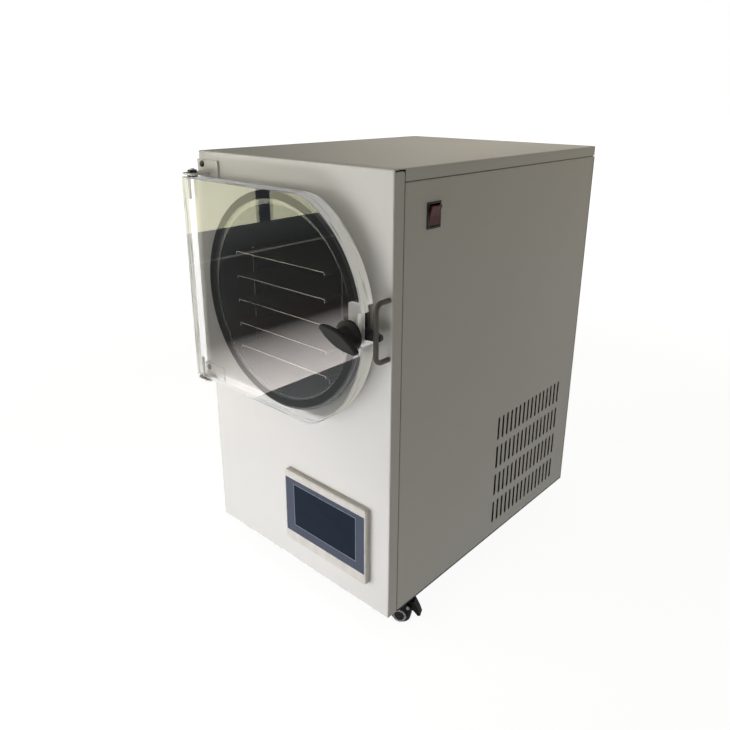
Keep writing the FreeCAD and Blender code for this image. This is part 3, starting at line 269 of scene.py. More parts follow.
def under_the_skin(material):
    """1 inside the cabinet's sheets, where shade is painted; 0 on their outer faces and all before
    them.
    """
    left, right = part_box("left_side_panel")[0].x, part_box("right_side_panel")[1].x
    back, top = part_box("back_panel")[1].y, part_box("top_lid")[1].z
    across = between(material, "X", left + SKIN, right - SKIN)
    along_depth = between(material, "Y", front_low.y + SKIN, back - SKIN)
    upright = between(material, "Z", front_low.z - NO_LOWER_END, top - SKIN)
    return product(material, product(material, across, along_depth), upright)


def powder_coat():
    coat, surface = finish("powder coat", (0.77, 0.76, 0.735), roughness=0.42)
    broad = noise(coat, scale=2.2, detail=2.0)
    tones(coat, surface, broad, dark=(0.755, 0.747, 0.72), light=(0.785, 0.777, 0.755))
    # painted shade: every face inside the cabinet becomes near black
    recolour(coat, surface, under_the_skin(coat), (0.02, 0.02, 0.02))
    gloss(coat, surface, broad, low=0.38, high=0.46)
    relief(coat, surface, noise(coat, scale=750, detail=1.0), depth=0.00004, strength=0.35)
    return coat


finishes["powder_coat"] = powder_coat()
print("made", finishes["powder_coat"].name)

# %% [markdown]
# ## Dark steel, zinc and plated screws
# The floor of the cabinet and the casters' forks are black, the hidden frame is painted grey, the
# deck is galvanised, and screws and pins are plated. Galvanised sheet shows the crystals of its
# zinc, which the cells of a Voronoi texture draw. Paint and plating only need a broad noise, so one
# recipe serves all the dark paints, each with its own colour and gloss.

# %% Dark paint, galvanised sheet and plated steel
def dark_paint(name, colour, roughness, sheen=0.5, wander=0.06):
    """Sprayed paint; wander is how far its roughness strays both ways."""
    paint, surface = finish(name, colour, roughness, sheen=sheen)
    broad = noise(paint, scale=9)
    tones(paint, surface, broad, dark=colour, light=toned(colour, 1.5))
    gloss(paint, surface, broad, roughness - wander, roughness + wander)
    relief(paint, surface, noise(paint, scale=620, detail=1.0), depth=0.00004, strength=0.4)
    return paint


def galvanised():
    zinc, surface = finish("galvanised sheet", (0.28, 0.29, 0.3), roughness=0.45, metallic=0.9)
    cells = add_node(zinc, "ShaderNodeTexVoronoi", {"Scale": 95})
    wire(zinc, place(zinc), cells.inputs["Vector"])
    crystals = cells.outputs["Distance"]
    tones(zinc, surface, crystals, dark=(0.22, 0.23, 0.24), light=(0.34, 0.35, 0.36))
    gloss(zinc, surface, crystals, low=0.35, high=0.55)
    return zinc


def plated_steel():
    plate, surface = finish("plated steel", (0.6, 0.6, 0.6), roughness=0.3, metallic=1.0)
    spots = noise(plate, scale=260, detail=4.0)
    tones(plate, surface, spots, dark=(0.5, 0.5, 0.5), light=(0.68, 0.68, 0.67))
    gloss(plate, surface, spots, low=0.22, high=0.4)
    return plate


finishes["dark_paint"] = dark_paint("dark paint", (0.03, 0.03, 0.032), 0.5, sheen=0.25)
finishes["galvanised"] = galvanised()
finishes["plated_steel"] = plated_steel()
finishes["frame_grey"] = dark_paint("frame grey", (0.2, 0.2, 0.185), 0.5)
# painted shadow: the hinge plates' screws are near black for the shade round their heads
finishes["black_screw"] = dark_paint("blackened screw", (0.012, 0.011, 0.01), 0.4)
print("made", len(finishes), "finishes")

# %% [markdown]
# ## Stainless steel
# The chamber is rolled from stainless sheet and the shelves are brushed plates. Brushing leaves
# fine lines along one direction, and a noise draws them when its coordinates are stretched far more
# across the lines than along them: across the shelves, and along the tube's length so that its
# lines run round it. Chamber, shelves and rack get colours well below bare stainless, as painted
# shade of the chamber's dim inside, and a thin slice at the mouth of the tube, its rolled lip, is
# recoloured darker still as painted shade.

# %% Brushed stainless
LIP_DEPTH = 0.002  # metres of the tube's mouth that its rolled lip takes up


def stainless(name, colour, low, high, stretch):
    """Brushed steel whose roughness wanders from low to high."""
    steel, surface = finish(name, colour, roughness=0.35, metallic=1.0)
    lines = noise(steel, scale=9, detail=4.0, stretch=stretch)
    tones(steel, surface, lines, dark=toned(colour, 0.85), light=colour)
    gloss(steel, surface, lines, low, high)
    relief(steel, surface, lines, depth=0.00002, strength=0.3)
    return steel, surface


def chamber_stainless():
    """The tube, darker than bare steel, and darker still at its rolled lip, both as painted shade.
    """
    steel, surface = stainless("chamber stainless", (0.3, 0.31, 0.32), 0.3, 0.45, (2, 90, 2))
    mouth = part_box("chamber_shell")[0].y
    # painted shade: a thin slice at the mouth is darker than the wall
    recolour(steel, surface, between(steel, "Y", mouth - LIP_DEPTH, mouth + LIP_DEPTH),
             (0.11, 0.115, 0.12))
    return steel


finishes["chamber"] = chamber_stainless()
# painted shade: shelf and rack colours are far below bare stainless
finishes["shelf"] = stainless("brushed shelf", (0.3, 0.29, 0.27), 0.28, 0.42, (1, 60, 60))[0]
finishes["rack"] = stainless("pickled rack", (0.1, 0.1, 0.098), 0.4, 0.55, (8, 8, 60))[0]
print("made", ", ".join(finishes[key].name for key in ("chamber", "shelf", "rack")))

# %% [markdown]
# ## The clear door
# The door is cut from thick cast acrylic. Its two faces are as cast and mirror-smooth. The sawn
# edge, the notch and the bores were only scraped and flame-polished, so they scatter light and look
# frosty. Light that enters the faces travels inside the plate and leaves at those edges, which is
# why they glow. One shader does it all: wherever a point lies between the two faces, part of the
# clear glass gives way to a white frost that light from inside the plate reaches as well. Light
# passes through a clear plate, so rays that only look for a lamp are let through, a little
# weakened.

# %% Clear acrylic with frosted edges
ACRYLIC_IOR = 1.49
FACE_MARGIN = 0.0002  # metres under each face, which stay clear
HINGE_EDGE = 0.01  # metres on both sides of the door's straight hinge edge
HINGE_SHARE = 0.45  # of the frost elsewhere, since the hinge edge was cut more smoothly
STREAK_LOW, STREAK_HIGH = 0.36, 0.56  # between these noise values the frost fills a streak
THIN_FROST, THIN_MILK = 0.2, 0.5  # what the deepest streaks keep of frost and of milky white
FROSTED_CLEARNESS, FROSTED_ROUGHNESS = 0.1, 0.45
LIGHT_BY_FACES, LIGHT_BY_EDGE = 0.96, 0.8  # shares of lamplight that pass


def clear_acrylic():
    acrylic, surface = finish("clear acrylic", (0.985, 0.99, 0.98), roughness=0.0)
    surface.inputs["IOR"].default_value = ACRYLIC_IOR
    low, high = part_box("door_slab")
    edge = between(acrylic, "Y", low.y + FACE_MARGIN, high.y - FACE_MARGIN)
    hinge_edge = between(acrylic, "X", low.x - HINGE_EDGE, low.x + HINGE_EDGE)
    cut = product(acrylic, edge, spread(acrylic, hinge_edge, 1.0, HINGE_SHARE))
    streaks = noise(acrylic, scale=30, detail=5.0, stretch=(0.45, 6, 0.45))
    frost, milk = (
        product(acrylic, cut, spread(acrylic, streaks, thinnest, 1.0, STREAK_LOW, STREAK_HIGH))
        for thinnest in (THIN_FROST, THIN_MILK))
    clearness = spread(acrylic, frost, 1.0, FROSTED_CLEARNESS)
    wire(acrylic, clearness, surface.inputs["Transmission Weight"])
    wire(acrylic, spread(acrylic, frost, 0.0, FROSTED_ROUGHNESS), surface.inputs["Roughness"])
    glowing = add_node(acrylic, "ShaderNodeBsdfTranslucent", {"Color": (1, 1, 1, 1)})
    frosted = mix_shaders(acrylic, milk, surface.outputs["BSDF"], glowing.outputs["BSDF"])
    passing = add_node(acrylic, "ShaderNodeBsdfTransparent")
    wire(acrylic, spread(acrylic, edge, LIGHT_BY_FACES, LIGHT_BY_EDGE), passing.inputs["Color"])
    towards_lamp = add_node(acrylic, "ShaderNodeLightPath").outputs["Is Shadow Ray"]
    show(acrylic, mix_shaders(acrylic, towards_lamp, frosted, passing.outputs["BSDF"]))
    return acrylic


finishes["clear_plate"] = clear_acrylic()
print("made", finishes["clear_plate"].name)

# %% [markdown]
# ## Rubber, moulded plastic and the touch panel
# Moulded parts share one recipe: an even colour, a little speckle, and the fine grain that spark
# erosion leaves in the mould. The overlay and the display of the touch panel are smoother and
# mirror more, so they get a recipe of their own without grain. The last dark paints belong to bars,
# fins and forks; the condenser fins are near black as painted shade inside the cabinet.

# %% Plastics and rubber
def moulded(name, colour, roughness, grain=0.00005, scale=520, sheen=0.5, wander=0.05):
    """Grained plastic or rubber; grain is its depth in metres, wander how far roughness strays."""
    plastic, surface = finish(name, colour, roughness, sheen=sheen)
    speckle = noise(plastic, scale=60)
    tones(plastic, surface, speckle, dark=toned(colour, 0.93), light=toned(colour, 1.07))
    gloss(plastic, surface, speckle, roughness - wander, roughness + wander)
    relief(plastic, surface, noise(plastic, scale, detail=1.0), depth=grain, strength=0.4)
    return plastic


def screen_film(name, colour, roughness, sheen):
    """Smooth printed film: almost even, with broad faint clouds where hands have wiped it."""
    film, surface = finish(name, colour, roughness, sheen=sheen)
    clouds = noise(film, scale=14, detail=2.0)
    tones(film, surface, clouds, dark=toned(colour, 0.96), light=toned(colour, 1.04))
    gloss(film, surface, clouds, low=roughness - 0.02, high=roughness + 0.03)
    return film


finishes["grey_silicone"] = moulded("grey silicone", (0.11, 0.113, 0.11), 0.6, sheen=0.35)
finishes["knob_black"] = moulded("knob black", (0.04, 0.04, 0.041), 0.5, sheen=0.1)
finishes["strike_grey"] = dark_paint("strike bar grey", (0.045, 0.038, 0.028), 0.36)
finishes["bezel_grey"] = moulded("bezel grey", (0.68, 0.65, 0.61), 0.45)
finishes["overlay_grey"] = screen_film("overlay grey", (0.066, 0.077, 0.118), 0.2, sheen=0.4)
finishes["display_dark"] = screen_film("display", (0.002, 0.01, 0.025), 0.1, sheen=0.18)
finishes["housing_black"] = moulded("housing black", (0.015, 0.015, 0.016), 0.5, sheen=0.3)
finishes["rocker_red"] = moulded("rocker red", (0.1, 0.012, 0.012), 0.35, grain=0.00001, sheen=0.2)
finishes["compressor_black"] = dark_paint("compressor black", (0.018, 0.018, 0.019), 0.35)
# painted shade: the condenser seen through the slots is near black
finishes["fins"] = dark_paint("condenser fins", (0.012, 0.012, 0.012), 0.7, sheen=0.25)
finishes["foam"] = moulded("insulation foam", (0.03, 0.03, 0.03), 0.8, grain=0.0003, scale=220,
                           sheen=0.1)
finishes["caster_black"] = dark_paint("caster black", (0.005, 0.005, 0.006), 0.55, sheen=0.1)
finishes["wheel_rubber"] = moulded("wheel rubber", (0.014, 0.014, 0.014), 0.65, sheen=0.25)
print("made", len(finishes), "finishes")

# %% [markdown]
# ## Finishes on the pieces that arrived
# Each node keeps its mesh. Only what its material slots hold is exchanged, by a table that reads
# like a purchase list: the finish on the left, the pieces that get it on the right. The print shows
# at once if a piece was forgotten.

# %% Give every arriving piece its finish
def numbered(*beginnings):
    """The names of all nodes that begin in one of these ways."""
    return [name for name in nodes if name.startswith(beginnings)]


coating_plan = {
    "powder_coat": ["front_panel", "right_side_panel", "left_side_panel", "back_panel", "top_lid",
                    "hinge_bracket_upper", "hinge_bracket_lower"],
    "dark_paint": ["base_pan", "fan_shroud", "hinge_nuts", "latch_dog"],
    "frame_grey": ["cabinet_frame"],
    "galvanised": ["equipment_deck", "chamber_saddles", "control_box", "fan_motor",
                   "caster_plates"],
    "plated_steel": ["hinge_pin_upper", "hinge_pin_lower", "latch_shaft"],
    "chamber": ["chamber_shell", "chamber_end"],
    "rack": ["shelf_rack"],
    "shelf": ["shelf_1", "shelf_2", "shelf_3", "shelf_4", "shelf_5", "vacuum_port"],
    "clear_plate": ["door_slab"],
    "grey_silicone": ["door_gasket"],
    "knob_black": ["latch_knob", "latch_bush"],
    "strike_grey": ["strike_bar"],
    "bezel_grey": ["panel_bezel"],
    "overlay_grey": ["panel_glass"],
    "display_dark": ["panel_display"],
    "housing_black": ["panel_housing", "switch_body", "power_inlet", "fan_rotor", "hinge_washers"],
    "rocker_red": ["switch_rocker"],
    "compressor_black": ["compressor"],
    "fins": ["condenser"],
    "foam": ["chamber_insulation"],
    "caster_black": numbered("caster_fork", "brake_pedal"),
    "wheel_rubber": numbered("caster_wheel"),
}


def coat_nodes(plan):
    done = set()
    for key, names in plan.items():
        for name in names:
            for slot in nodes[name].material_slots:
                slot.material = finishes[key]
            done.add(name)
    return done


coated = coat_nodes(coating_plan)
print("coated", len(coated), "of", len(nodes), "; left over:", sorted(set(nodes) - coated))

# %% [markdown]
# ## Modelling helpers
# Small hardware is modelled the way it is made by hand: a primitive is put at its place, faces are
# picked by where they point, and the edit operators shape them. Everything is deselected first,
# because an operator acts on all that is selected.

# %% Helpers for modelling
def deselect():
    if bpy.context.object and bpy.context.object.mode != "OBJECT":
        bpy.ops.object.mode_set(mode="OBJECT")
    bpy.ops.object.select_all(action="DESELECT")


def take(piece):
    """Selects one piece and makes it active."""
    deselect()
    piece.select_set(True)
    bpy.context.view_layer.objects.active = piece


def pick_faces(piece, test):
    """Opens the piece for editing with the faces selected for which test(normal) holds."""
    take(piece)
    bpy.ops.object.mode_set(mode="EDIT")
    bpy.ops.mesh.select_mode(type="FACE")
    bpy.ops.mesh.select_all(action="DESELECT")
    bpy.ops.object.mode_set(mode="OBJECT")
    for face in piece.data.polygons:
        face.select = bool(test(face.normal))
    bpy.ops.object.mode_set(mode="EDIT")


def named(name):
    """Names the piece that an operator has just made."""
    piece = bpy.context.object
    piece.name = piece.data.name = name
    return piece


def set_shape():
    """Puts the active piece's place, turn and scale in its mesh."""
    bpy.ops.object.transform_apply(location=True, rotation=True, scale=True)


def apply_modifier(piece, kind, **settings):
    take(piece)
    modifier = piece.modifiers.new(kind.lower(), kind)
    for key, value in settings.items():
        setattr(modifier, key, value)
    bpy.ops.object.modifier_apply(modifier=modifier.name)


def settle(piece, angle):
    """Sets the piece's shape and smooths its edges that are flatter than an angle in degrees."""
    take(piece)
    set_shape()
    bpy.ops.object.shade_smooth_by_angle(angle=math.radians(angle))
    deselect()


def fit(piece, body, key):
    """Gives a finished piece its finish and the body that it moves with."""
    piece.data.materials.clear()
    piece.data.materials.append(finishes[key])
    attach(piece, body)
    return piece


def copied(piece, name, matrix):
    """A copy with its own mesh, moved inside that mesh."""
    twin = piece.copy()
    twin.data = piece.data.copy()
    twin.name = twin.data.name = name
    twin.data.transform(matrix)
    bpy.context.scene.collection.objects.link(twin)
    return twin


print("modelling helpers ready")

# %% [markdown]
# ## A screw
# The hinge plates and the back panel are held by pan-head screws with a cross recess. One head is
# modelled once, pointing along minus Y: a disc whose front face is inset and pulled out three times
# for the dome, and whose cross is cut by two crossed blades. All the others are copies. Sizes are in
# metres, here and in all cells that follow.

# %% One pan-head screw
UPRIGHT_TURN = (math.radians(90), 0, 0)  # stands a flat disc or plane up, to face along Y
ROUND_SIDES = 40  # enough for a part the size of a button
FACING = 0.9  # a face points along an axis when this much of its normal does
SCREW_RADIUS, SCREW_HEIGHT = 0.0055, 0.0032
STRAIGHT_SHARE = 0.55  # the lower part of the head, whose side is straight
DOME_STEPS = ((0.2, 0.28), (0.25, 0.13), (0.3, 0.04))  # inset by the radius, rise by the height
BLADE = (1.05, 0.9, 0.24)  # length by the radius, depth by the height, thickness by the radius
BLADE_TURNS = (45, 135)  # degrees


def pan_head(radius, height):
    deselect()
    straight = height * STRAIGHT_SHARE
    bpy.ops.mesh.primitive_cylinder_add(vertices=ROUND_SIDES, radius=radius, depth=straight,
                                        location=(0, -straight / 2, 0), rotation=UPRIGHT_TURN)
    head = named("pan_head_screw")
    set_shape()
    pick_faces(head, lambda normal: normal.y < -FACING)
    for share, rise in DOME_STEPS:
        bpy.ops.mesh.inset(thickness=radius * share)
        bpy.ops.transform.translate(value=(0, -height * rise, 0))
    length, depth, thickness = radius * BLADE[0], height * BLADE[1], radius * BLADE[2]
    for turn in BLADE_TURNS:
        deselect()
        bpy.ops.mesh.primitive_cube_add(size=1, location=(0, -height, 0),
                                        rotation=(0, math.radians(turn), 0),
                                        scale=(length, depth, thickness))
        blade = named("driver_blade")
        set_shape()
        apply_modifier(head, "BOOLEAN", operation="DIFFERENCE", object=blade, solver="EXACT")
        bpy.data.objects.remove(blade)
    settle(head, angle=30)
    return head


screw = pan_head(SCREW_RADIUS, SCREW_HEIGHT)
print("screw faces:", len(screw.data.polygons), "width:", round(screw.dimensions.x, 4))

# %% [markdown]
# ## Screws in their places
# A hinge plate has one screw near its upper edge, coloured near black as painted shadow round its
# head, and the back panel has a row of four plated ones down each side, so that it comes off for
# service. Their places are counted from the edges of the sheets, as a maker marks them out, and
# hold when a sheet gets another size.

# %% Screws on the hinge plates and the back panel
PLATE_THICKNESS = 0.003
PLATE_INSET = (0.014, 0.0075)  # from a hinge plate's left and upper edge
PANEL_INSET = (0.012, 0.03)  # from the back panel's sides and from its ends
ROWS = 4


def fit_screws(model):
    made = []
    for level in ("upper", "lower"):
        low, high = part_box("hinge_bracket_" + level)
        spot = (low.x + PLATE_INSET[0], home.y - PLATE_THICKNESS, high.z - PLATE_INSET[1])
        twin = copied(model, "bracket_screw_" + level, Matrix.Translation(Vector(spot)))
        made.append(fit(twin, "cabinet", "black_screw"))
    low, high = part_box("back_panel")
    side, end = PANEL_INSET
    turned = Matrix.Rotation(math.pi, 4, "Z")
    for column, x in enumerate((low.x + side, high.x - side)):
        for row in range(ROWS):
            z = low.z + end + row * (high.z - low.z - 2 * end) / (ROWS - 1)
            spot = Matrix.Translation(Vector((x, high.y, z))) @ turned
            twin = copied(model, "back_screw_%d_%d" % (column + 1, row + 1), spot)
            made.append(fit(twin, "cabinet", "plated_steel"))
    bpy.data.objects.remove(model)
    return made


screws = fit_screws(screw)
print("fitted", len(screws), "screws")

# %% [markdown]
# ## Lips of the touch panel
# A thin lip runs round the overlay and a darker one round the display. Their colours, pale round
# the overlay and grey-blue round the display, are painted highlights along the panel's edges. Each
# is a flat frame: a plane the size of the opening is inset, its middle is deleted, and the rest is
# thickened and its edges are rounded. A frame of its own keeps the two sheets under it as they
# arrived.

# %% Lips round the overlay and the display
LIP_ROUNDING = 0.5  # a lip's edges are rounded by this share of how far it stands out


def panel_lip(name, node, width, outwards, proud, key):
    """Flat frame on the overlay's face along a node's edge.

    outwards is how far it reaches past the node, and proud how far it stands out of the face.
    """
    low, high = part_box(node)
    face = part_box("panel_glass")[0].y
    deselect()
    bpy.ops.mesh.primitive_plane_add(size=1, rotation=UPRIGHT_TURN,
                                     location=((low.x + high.x) / 2, face, (low.z + high.z) / 2))
    lip = named(name)
    lip.scale = (high.x - low.x + 2 * outwards, high.z - low.z + 2 * outwards, 1)
    set_shape()
    pick_faces(lip, lambda normal: True)
    bpy.ops.mesh.inset(thickness=width)
    bpy.ops.mesh.delete(type="FACE")
    bpy.ops.object.mode_set(mode="OBJECT")
    apply_modifier(lip, "SOLIDIFY", thickness=proud * 2, offset=0)
    apply_modifier(lip, "BEVEL", width=proud * LIP_ROUNDING, segments=2, limit_method="ANGLE")
    settle(lip, angle=30)
    return fit(lip, "cabinet", key)


# painted highlight: the lips' pale and grey-blue colours stand for light on the panel's edges
finishes["lip_pale"] = moulded("pale lip", (0.7, 0.69, 0.68), 0.3, grain=0.00001)
finishes["lip_blue"] = moulded("blue lip", (0.2, 0.25, 0.3), 0.25, grain=0.00001)
lips = [
    panel_lip("overlay_lip", "panel_glass", width=0.0016, outwards=0.0, proud=0.0003,
              key="lip_pale"),
    panel_lip("display_lip", "panel_display", width=0.0014, outwards=0.0006, proud=0.0002,
              key="lip_blue"),
]
for lip in lips:
    size = [round(v, 4) for v in lip.dimensions]
    print(lip.name, "faces:", len(lip.data.polygons), "size:", size)

# %% [markdown]
# ## Axle caps, rings and rivets
# Outside each fork cheek a black pressed cap covers the axle's end, and a ring frames it. The
# pedal's pin ends in a domed rivet. Ring and rivet are a flat grey instead of polished metal, a
# painted reflection that looks the same all round. A ring is the outline of a small rectangle, spun
# round the axle, so that it closes without a seam. Cap and rivet are short cylinders whose ends are
# inset and pushed in or pulled out, as a press tool would do it.

# %% Ring, cap and rivet
CAP_RADIUS, CAP_DEPTH = 0.009, 0.0010
CAP_STEPS = ((0.06, 0.0006), (0.14, 0.0002), (0.12, -0.0005), (0.3, -0.0001), (0.1, 0.0004))
RING_RADIUS, RING_WIDTH, RING_ROUNDING, RING_STEPS = 0.0128, 0.0014, 0.0003, 48
RIVET_RADIUS, RIVET_DEPTH = 0.0034, 0.0009
RIVET_STEPS = ((0.22, 0.0005), (0.3, 0.0004))
WELD = 0.00001  # corners closer than this become one


def axle_ring(inner, outer, width):
    """Ring round the Y axis, spun from the outline of a small rectangle."""
    deselect()
    bpy.ops.mesh.primitive_plane_add(size=1, location=((inner + outer) / 2, width / 2, 0))
    ring = named("axle_ring")
    ring.scale = (outer - inner, width, 1)
    set_shape()
    pick_faces(ring, lambda normal: True)
    bpy.ops.mesh.delete(type="ONLY_FACE")
    bpy.ops.mesh.select_mode(type="EDGE")
    bpy.ops.mesh.select_all(action="SELECT")
    bpy.ops.mesh.spin(steps=RING_STEPS, angle=math.tau, center=(0, 0, 0), axis=(0, 1, 0))
    bpy.ops.mesh.select_all(action="SELECT")
    bpy.ops.mesh.remove_doubles(threshold=WELD)
    bpy.ops.mesh.normals_make_consistent(inside=False)
    bpy.ops.object.mode_set(mode="OBJECT")
    apply_modifier(ring, "BEVEL", width=RING_ROUNDING, segments=2, limit_method="ANGLE")
    settle(ring, angle=40)
    return ring


def pressed_disc(name, radius, depth, steps):
    """Round part along plus Y with its flat side at the origin.

    steps are (inset as a share of the radius, rise in metres) of its outer end.
    """
    deselect()
    bpy.ops.mesh.primitive_cylinder_add(vertices=ROUND_SIDES, radius=radius, depth=depth,
                                        location=(0, depth / 2, 0), rotation=UPRIGHT_TURN)
    disc = named(name)
    set_shape()
    pick_faces(disc, lambda normal: normal.y > FACING)
    for share, rise in steps:
        bpy.ops.mesh.inset(thickness=radius * share)
        bpy.ops.transform.translate(value=(0, rise, 0))
    settle(disc, angle=40)
    return disc


ring = axle_ring(CAP_RADIUS, RING_RADIUS, RING_WIDTH)
cap = pressed_disc("axle_cap", CAP_RADIUS, CAP_DEPTH, CAP_STEPS)
rivet = pressed_disc("pedal_rivet", RIVET_RADIUS, RIVET_DEPTH, RIVET_STEPS)
for model in (ring, cap, rivet):
    print(model.name, "faces:", len(model.data.polygons))

# %% [markdown]
# ## Caps, rings and rivets outside the forks
# Each caster swivels by itself, so its caps, rings and rivets have to go with its own fork. The
# joint of the wheel, or of the pedal, says where its pin lies and which way it points. One copy
# goes on each end of that pin, and only the two front casters have pedals.

# %% Fit them outside the fork cheeks
CORNERS = ("front_right", "front_left", "rear_right", "rear_left")
CHEEK_FACE = 0.0121  # from the wheel's middle to the outer face of a fork cheek


def along(joint):
    """Turns a piece made along Y so that it lies along a joint's axis, at the joint's place."""
    direction = Vector(joint["axis"])
    turn = Vector((0, 1, 0)).rotation_difference(direction).to_matrix().to_4x4()
    return Matrix.Translation(Vector(joint["pos_m"])) @ turn


def fit_both_sides(model, title, joint_kind, corners, key):
    """One copy outside each cheek; the copies move with the fork."""
    made = []
    for corner in corners:
        for side, turn in (("a", 0), ("b", math.pi)):
            spot = along(joints[joint_kind + "_" + corner]) @ Matrix.Rotation(turn, 4, "Z")
            spot = spot @ Matrix.Translation((0, CHEEK_FACE, 0))
            twin = copied(model, "%s_%s_%s" % (title, corner, side), spot)
            made.append(fit(twin, "caster_" + corner, key))
    bpy.data.objects.remove(model)
    return made


finishes["cap_black"] = moulded("cap black", (0.006, 0.006, 0.006), 0.28, grain=0.00002, sheen=0.15)
# painted reflection: flat grey stands for the sheen of polished metal
finishes["ring_reflection_grey"] = moulded("ring grey", (0.26, 0.26, 0.26), 0.4, grain=0.00002, sheen=0.3)
rings = fit_both_sides(ring, "axle_ring", "roll", CORNERS, "ring_reflection_grey")
caps = fit_both_sides(cap, "axle_cap", "roll", CORNERS, "cap_black")
rivets = fit_both_sides(rivet, "pedal_rivet", "brake", CORNERS[:2], "ring_reflection_grey")
print("fitted", len(rings), "rings,", len(caps), "caps and", len(rivets), "rivets")

# %% [markdown]
# ## The studio
# The machine stands on a white floor in a white room. A floor that only reflects lamps would turn
# grey behind the machine, so part of it glows by itself, and a little more further away. The room
# shows white to whoever looks at it, but gives the machine only a dim warm light that weakens
# overhead. One mask keeps the two apart: it asks whether a ray comes straight from the eye, also by
# way of a mirror or through glass.

# %% Floor and room
FLOOR_SIZE = 60
GLOW_SHARE = 0.62  # the part of the floor's look that is its own glow
GLOW_NEAR, GLOW_FAR = 1.5, 1.7  # strength near the machine and far away
NEAR_FLOOR, FAR_FLOOR = 1.2, 3.5  # distances from the machine between which it rises
OVERHEAD = 0.35  # the room's light from above, as a share of its light from the side
OVERHEAD_FROM = 0.8  # the upward part of a direction from which this share holds


def seen_directly(owner):
    """1 for what the eye sees, also by mirror or through glass; 0 for light off a dull surface."""
    path = add_node(owner, "ShaderNodeLightPath").outputs
    seen = calculate(owner, "MAXIMUM", path["Is Camera Ray"], path["Is Glossy Ray"])
    seen = calculate(owner, "MAXIMUM", seen, path["Is Transmission Ray"])
    return product(owner, seen, calculate(owner, "LESS_THAN", path["Diffuse Depth"], 0.5))


def studio_floor():
    deselect()
    bpy.ops.mesh.primitive_plane_add(size=FLOOR_SIZE, location=(0, 0, 0))
    floor = named("studio_floor")
    material, surface = finish("studio floor", (0.8, 0.8, 0.8), roughness=0.9, sheen=0.0)
    coordinates = add_node(material, "ShaderNodeTexCoord")
    distance = add_node(material, "ShaderNodeVectorMath", operation="LENGTH")
    wire(material, coordinates.outputs["Object"], distance.inputs[0])
    glow = add_node(material, "ShaderNodeEmission", {"Color": (1, 1, 1, 1)})
    brightness = spread(material, distance.outputs["Value"], GLOW_NEAR, GLOW_FAR, NEAR_FLOOR,
                        FAR_FLOOR)
    wire(material, brightness, glow.inputs["Strength"])
    share = product(material, seen_directly(material), GLOW_SHARE)
    show(material, mix_shaders(material, share, surface.outputs["BSDF"], glow.outputs["Emission"]))
    floor.data.materials.append(material)
    return floor


def white_room(ambient, strength):
    world = bpy.data.worlds.new("white room")
    bpy.context.scene.world = world
    world.use_nodes = True
    dim = world.node_tree.nodes["Background"]
    dim.inputs["Color"].default_value = (*ambient, 1)
    upward = coordinate(world, "Z", kind="Generated")
    brightness = spread(world, upward, strength, strength * OVERHEAD, 0.0, OVERHEAD_FROM)
    wire(world, brightness, dim.inputs["Strength"])
    white = add_node(world, "ShaderNodeBackground", {"Color": (1, 1, 1, 1), "Strength": 1.0})
    room = mix_shaders(world, seen_directly(world), dim.outputs["Background"],
                       white.outputs["Background"])
    wire(world, room, world.node_tree.nodes["World Output"].inputs["Surface"])
    return world


floor = studio_floor()
world = white_room((1.0, 0.95, 0.79), 0.285)
print("made", floor.name, "and", world.name)

# %% [markdown]
# ## What the clear door mirrors
# A sheet of acrylic shows little of itself and much of what stands before it: here a bright patch
# of floor, a dark stretch, and a garden window with a post. Flat cards stand in for them, each a
# plane between two opposite corners. Only mirror and glass see them, so they put no light on the
# machine. Two pale walls behind it are there for the lid's gloss alone, and the glass does not see
# them.

# %% Cards that the clear door mirrors
FLAT = 0.000001  # a card's corners differ by less than this on the axis that it faces
CARD_HEIGHTS = (0.002, 0.003, 0.004)  # of the cards that lie on the floor, one above the other
LOW_CARD, MIDDLE_CARD, HIGH_CARD = (height - home.z for height in CARD_HEIGHTS)


def card(name, low, high, colour, strength, fade=None):
    """Flat card between two corners, which only mirrors and glass see.

    fade is (x of its dark end, x of its bright end, strength at the dark end).
    """
    low, high = from_home(*low), from_home(*high)
    size = high - low
    deselect()
    turn, scale = (0, 0, 0), (size.x, size.y, 1)
    if abs(size.x) < FLAT:
        turn, scale = (0, math.radians(90), 0), (size.z, size.y, 1)
    elif abs(size.y) < FLAT:
        turn, scale = UPRIGHT_TURN, (size.x, size.z, 1)
    bpy.ops.mesh.primitive_plane_add(size=1, location=(low + high) / 2, rotation=turn)
    piece = named(name)
    piece.scale = scale
    set_shape()
    piece.visible_camera = piece.visible_diffuse = piece.visible_shadow = False
    piece.visible_volume_scatter = False
    material, surface = finish(name, (0, 0, 0), roughness=1.0, sheen=0.0)
    surface.inputs["Emission Color"].default_value = (*colour, 1)
    if fade:
        dark, bright, least = fade
        strength = spread(material, coordinate(material, "X"), least, strength,
                          home.x + dark, home.x + bright)
    light = product(material, seen_directly(material), strength)
    wire(material, light, surface.inputs["Emission Strength"])
    piece.data.materials.append(material)
    return piece


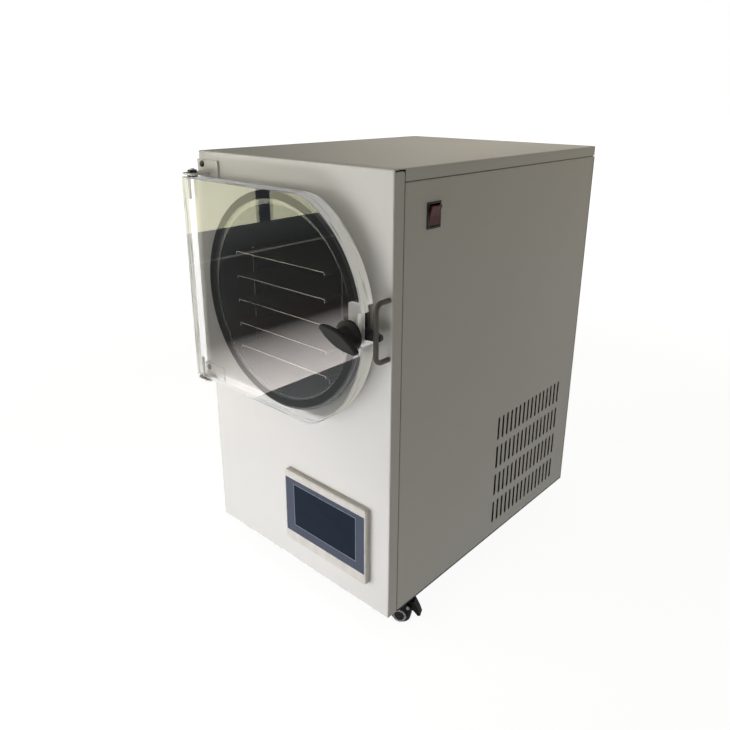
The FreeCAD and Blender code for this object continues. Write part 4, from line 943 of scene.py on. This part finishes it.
# Name, two opposite corners in metres from the reference point, colour, strength, fade.
cards = [
    card("dark_floor", (-3.1, -7.0, LOW_CARD), (-0.73, -0.03, LOW_CARD), (0.95, 1.0, 0.97), 0.14),
    card("near_floor", (-0.73, -7.0, LOW_CARD), (0.35, -0.03, LOW_CARD), (0.95, 0.97, 1.0), 0.6),
    card("bright_floor", (-1.45, -6.0, MIDDLE_CARD), (-0.73, -0.3, MIDDLE_CARD),
         (1.0, 0.93, 0.9), 4.7, fade=(-1.215, -0.73, 0.14)),
    card("far_floor", (-3.1, -7.0, MIDDLE_CARD), (-2.34, -0.3, MIDDLE_CARD), (0.95, 1.0, 1.0), 0.28,
         fade=(-1.9, -3.1, 0.05)),
    card("floor_edge", (-2.37, -7.0, HIGH_CARD), (-2.33, -0.3, HIGH_CARD), (1.0, 1.0, 0.97), 0.65),
    card("garden_window", (-3.1, -8.0, -home.z), (-3.1, -0.5, 2.6), (1.0, 0.985, 0.7), 3.2),
    card("window_post", (-3.09, -2.57, -home.z), (-3.09, -2.44, 2.6), (0.3, 0.33, 0.4), 0.5),
    card("back_wall", (-6.0, 3.2, -home.z), (9.0, 3.2, 5.0), (0.95, 0.87, 0.74), 1.1,
         fade=(-4.4, -2.2, 0.1)),
    card("side_wall", (4.5, -3.0, -home.z), (4.5, 3.2, 5.0), (0.95, 0.93, 0.78), 0.42),
]
for wall in cards[-2:]:
    wall.visible_transmission = False
print("cards:", len(cards), "walls for the lid:", [wall.name for wall in cards[-2:]])

# %% [markdown]
# ## Lamps
# One broad lamp stands low at the front left, like a large window, and leaves the right side in
# soft shade. A small low lamp in front lifts the lower part of the front, as a pale floor does, and
# a weak warm one at the upper left keeps the lid and the seams readable. No lamp shows in the clear
# door: the cards do that.

# %% Lamps
def area_lamp(name, spot, target, width, height, power, colour):
    """Rectangular lamp that points at a target; places from the reference point, power in watts."""
    deselect()
    bpy.ops.object.light_add(type="AREA", location=from_home(*spot))
    lamp = bpy.context.object
    lamp.name = lamp.data.name = name
    lamp.data.shape = "RECTANGLE"
    lamp.data.size, lamp.data.size_y = width, height
    lamp.data.energy = power
    lamp.data.color = colour
    lamp.visible_glossy = lamp.visible_transmission = False
    aim = from_home(*target) - lamp.location
    lamp.rotation_euler = aim.to_track_quat("-Z", "Y").to_euler()
    return lamp


lamps = [
    area_lamp("window_lamp", (-2.0, -2.6, 0.2), (0, 0, 0.25), 2.6, 0.9, 35.5, (1.0, 0.99, 1.0)),
    area_lamp("low_lamp", (-0.08, -0.75, -0.02), (0, 0, 0.06), 1.0, 0.3, 6.9, (0.965, 0.965, 1.0)),
    area_lamp("upper_lamp", (-1.3, -1.2, 1.5), (-0.2, 0, 0.65), 0.6, 0.6, 3.2, (1.0, 0.91, 0.76)),
]
print("lamps:", [lamp.name for lamp in lamps])
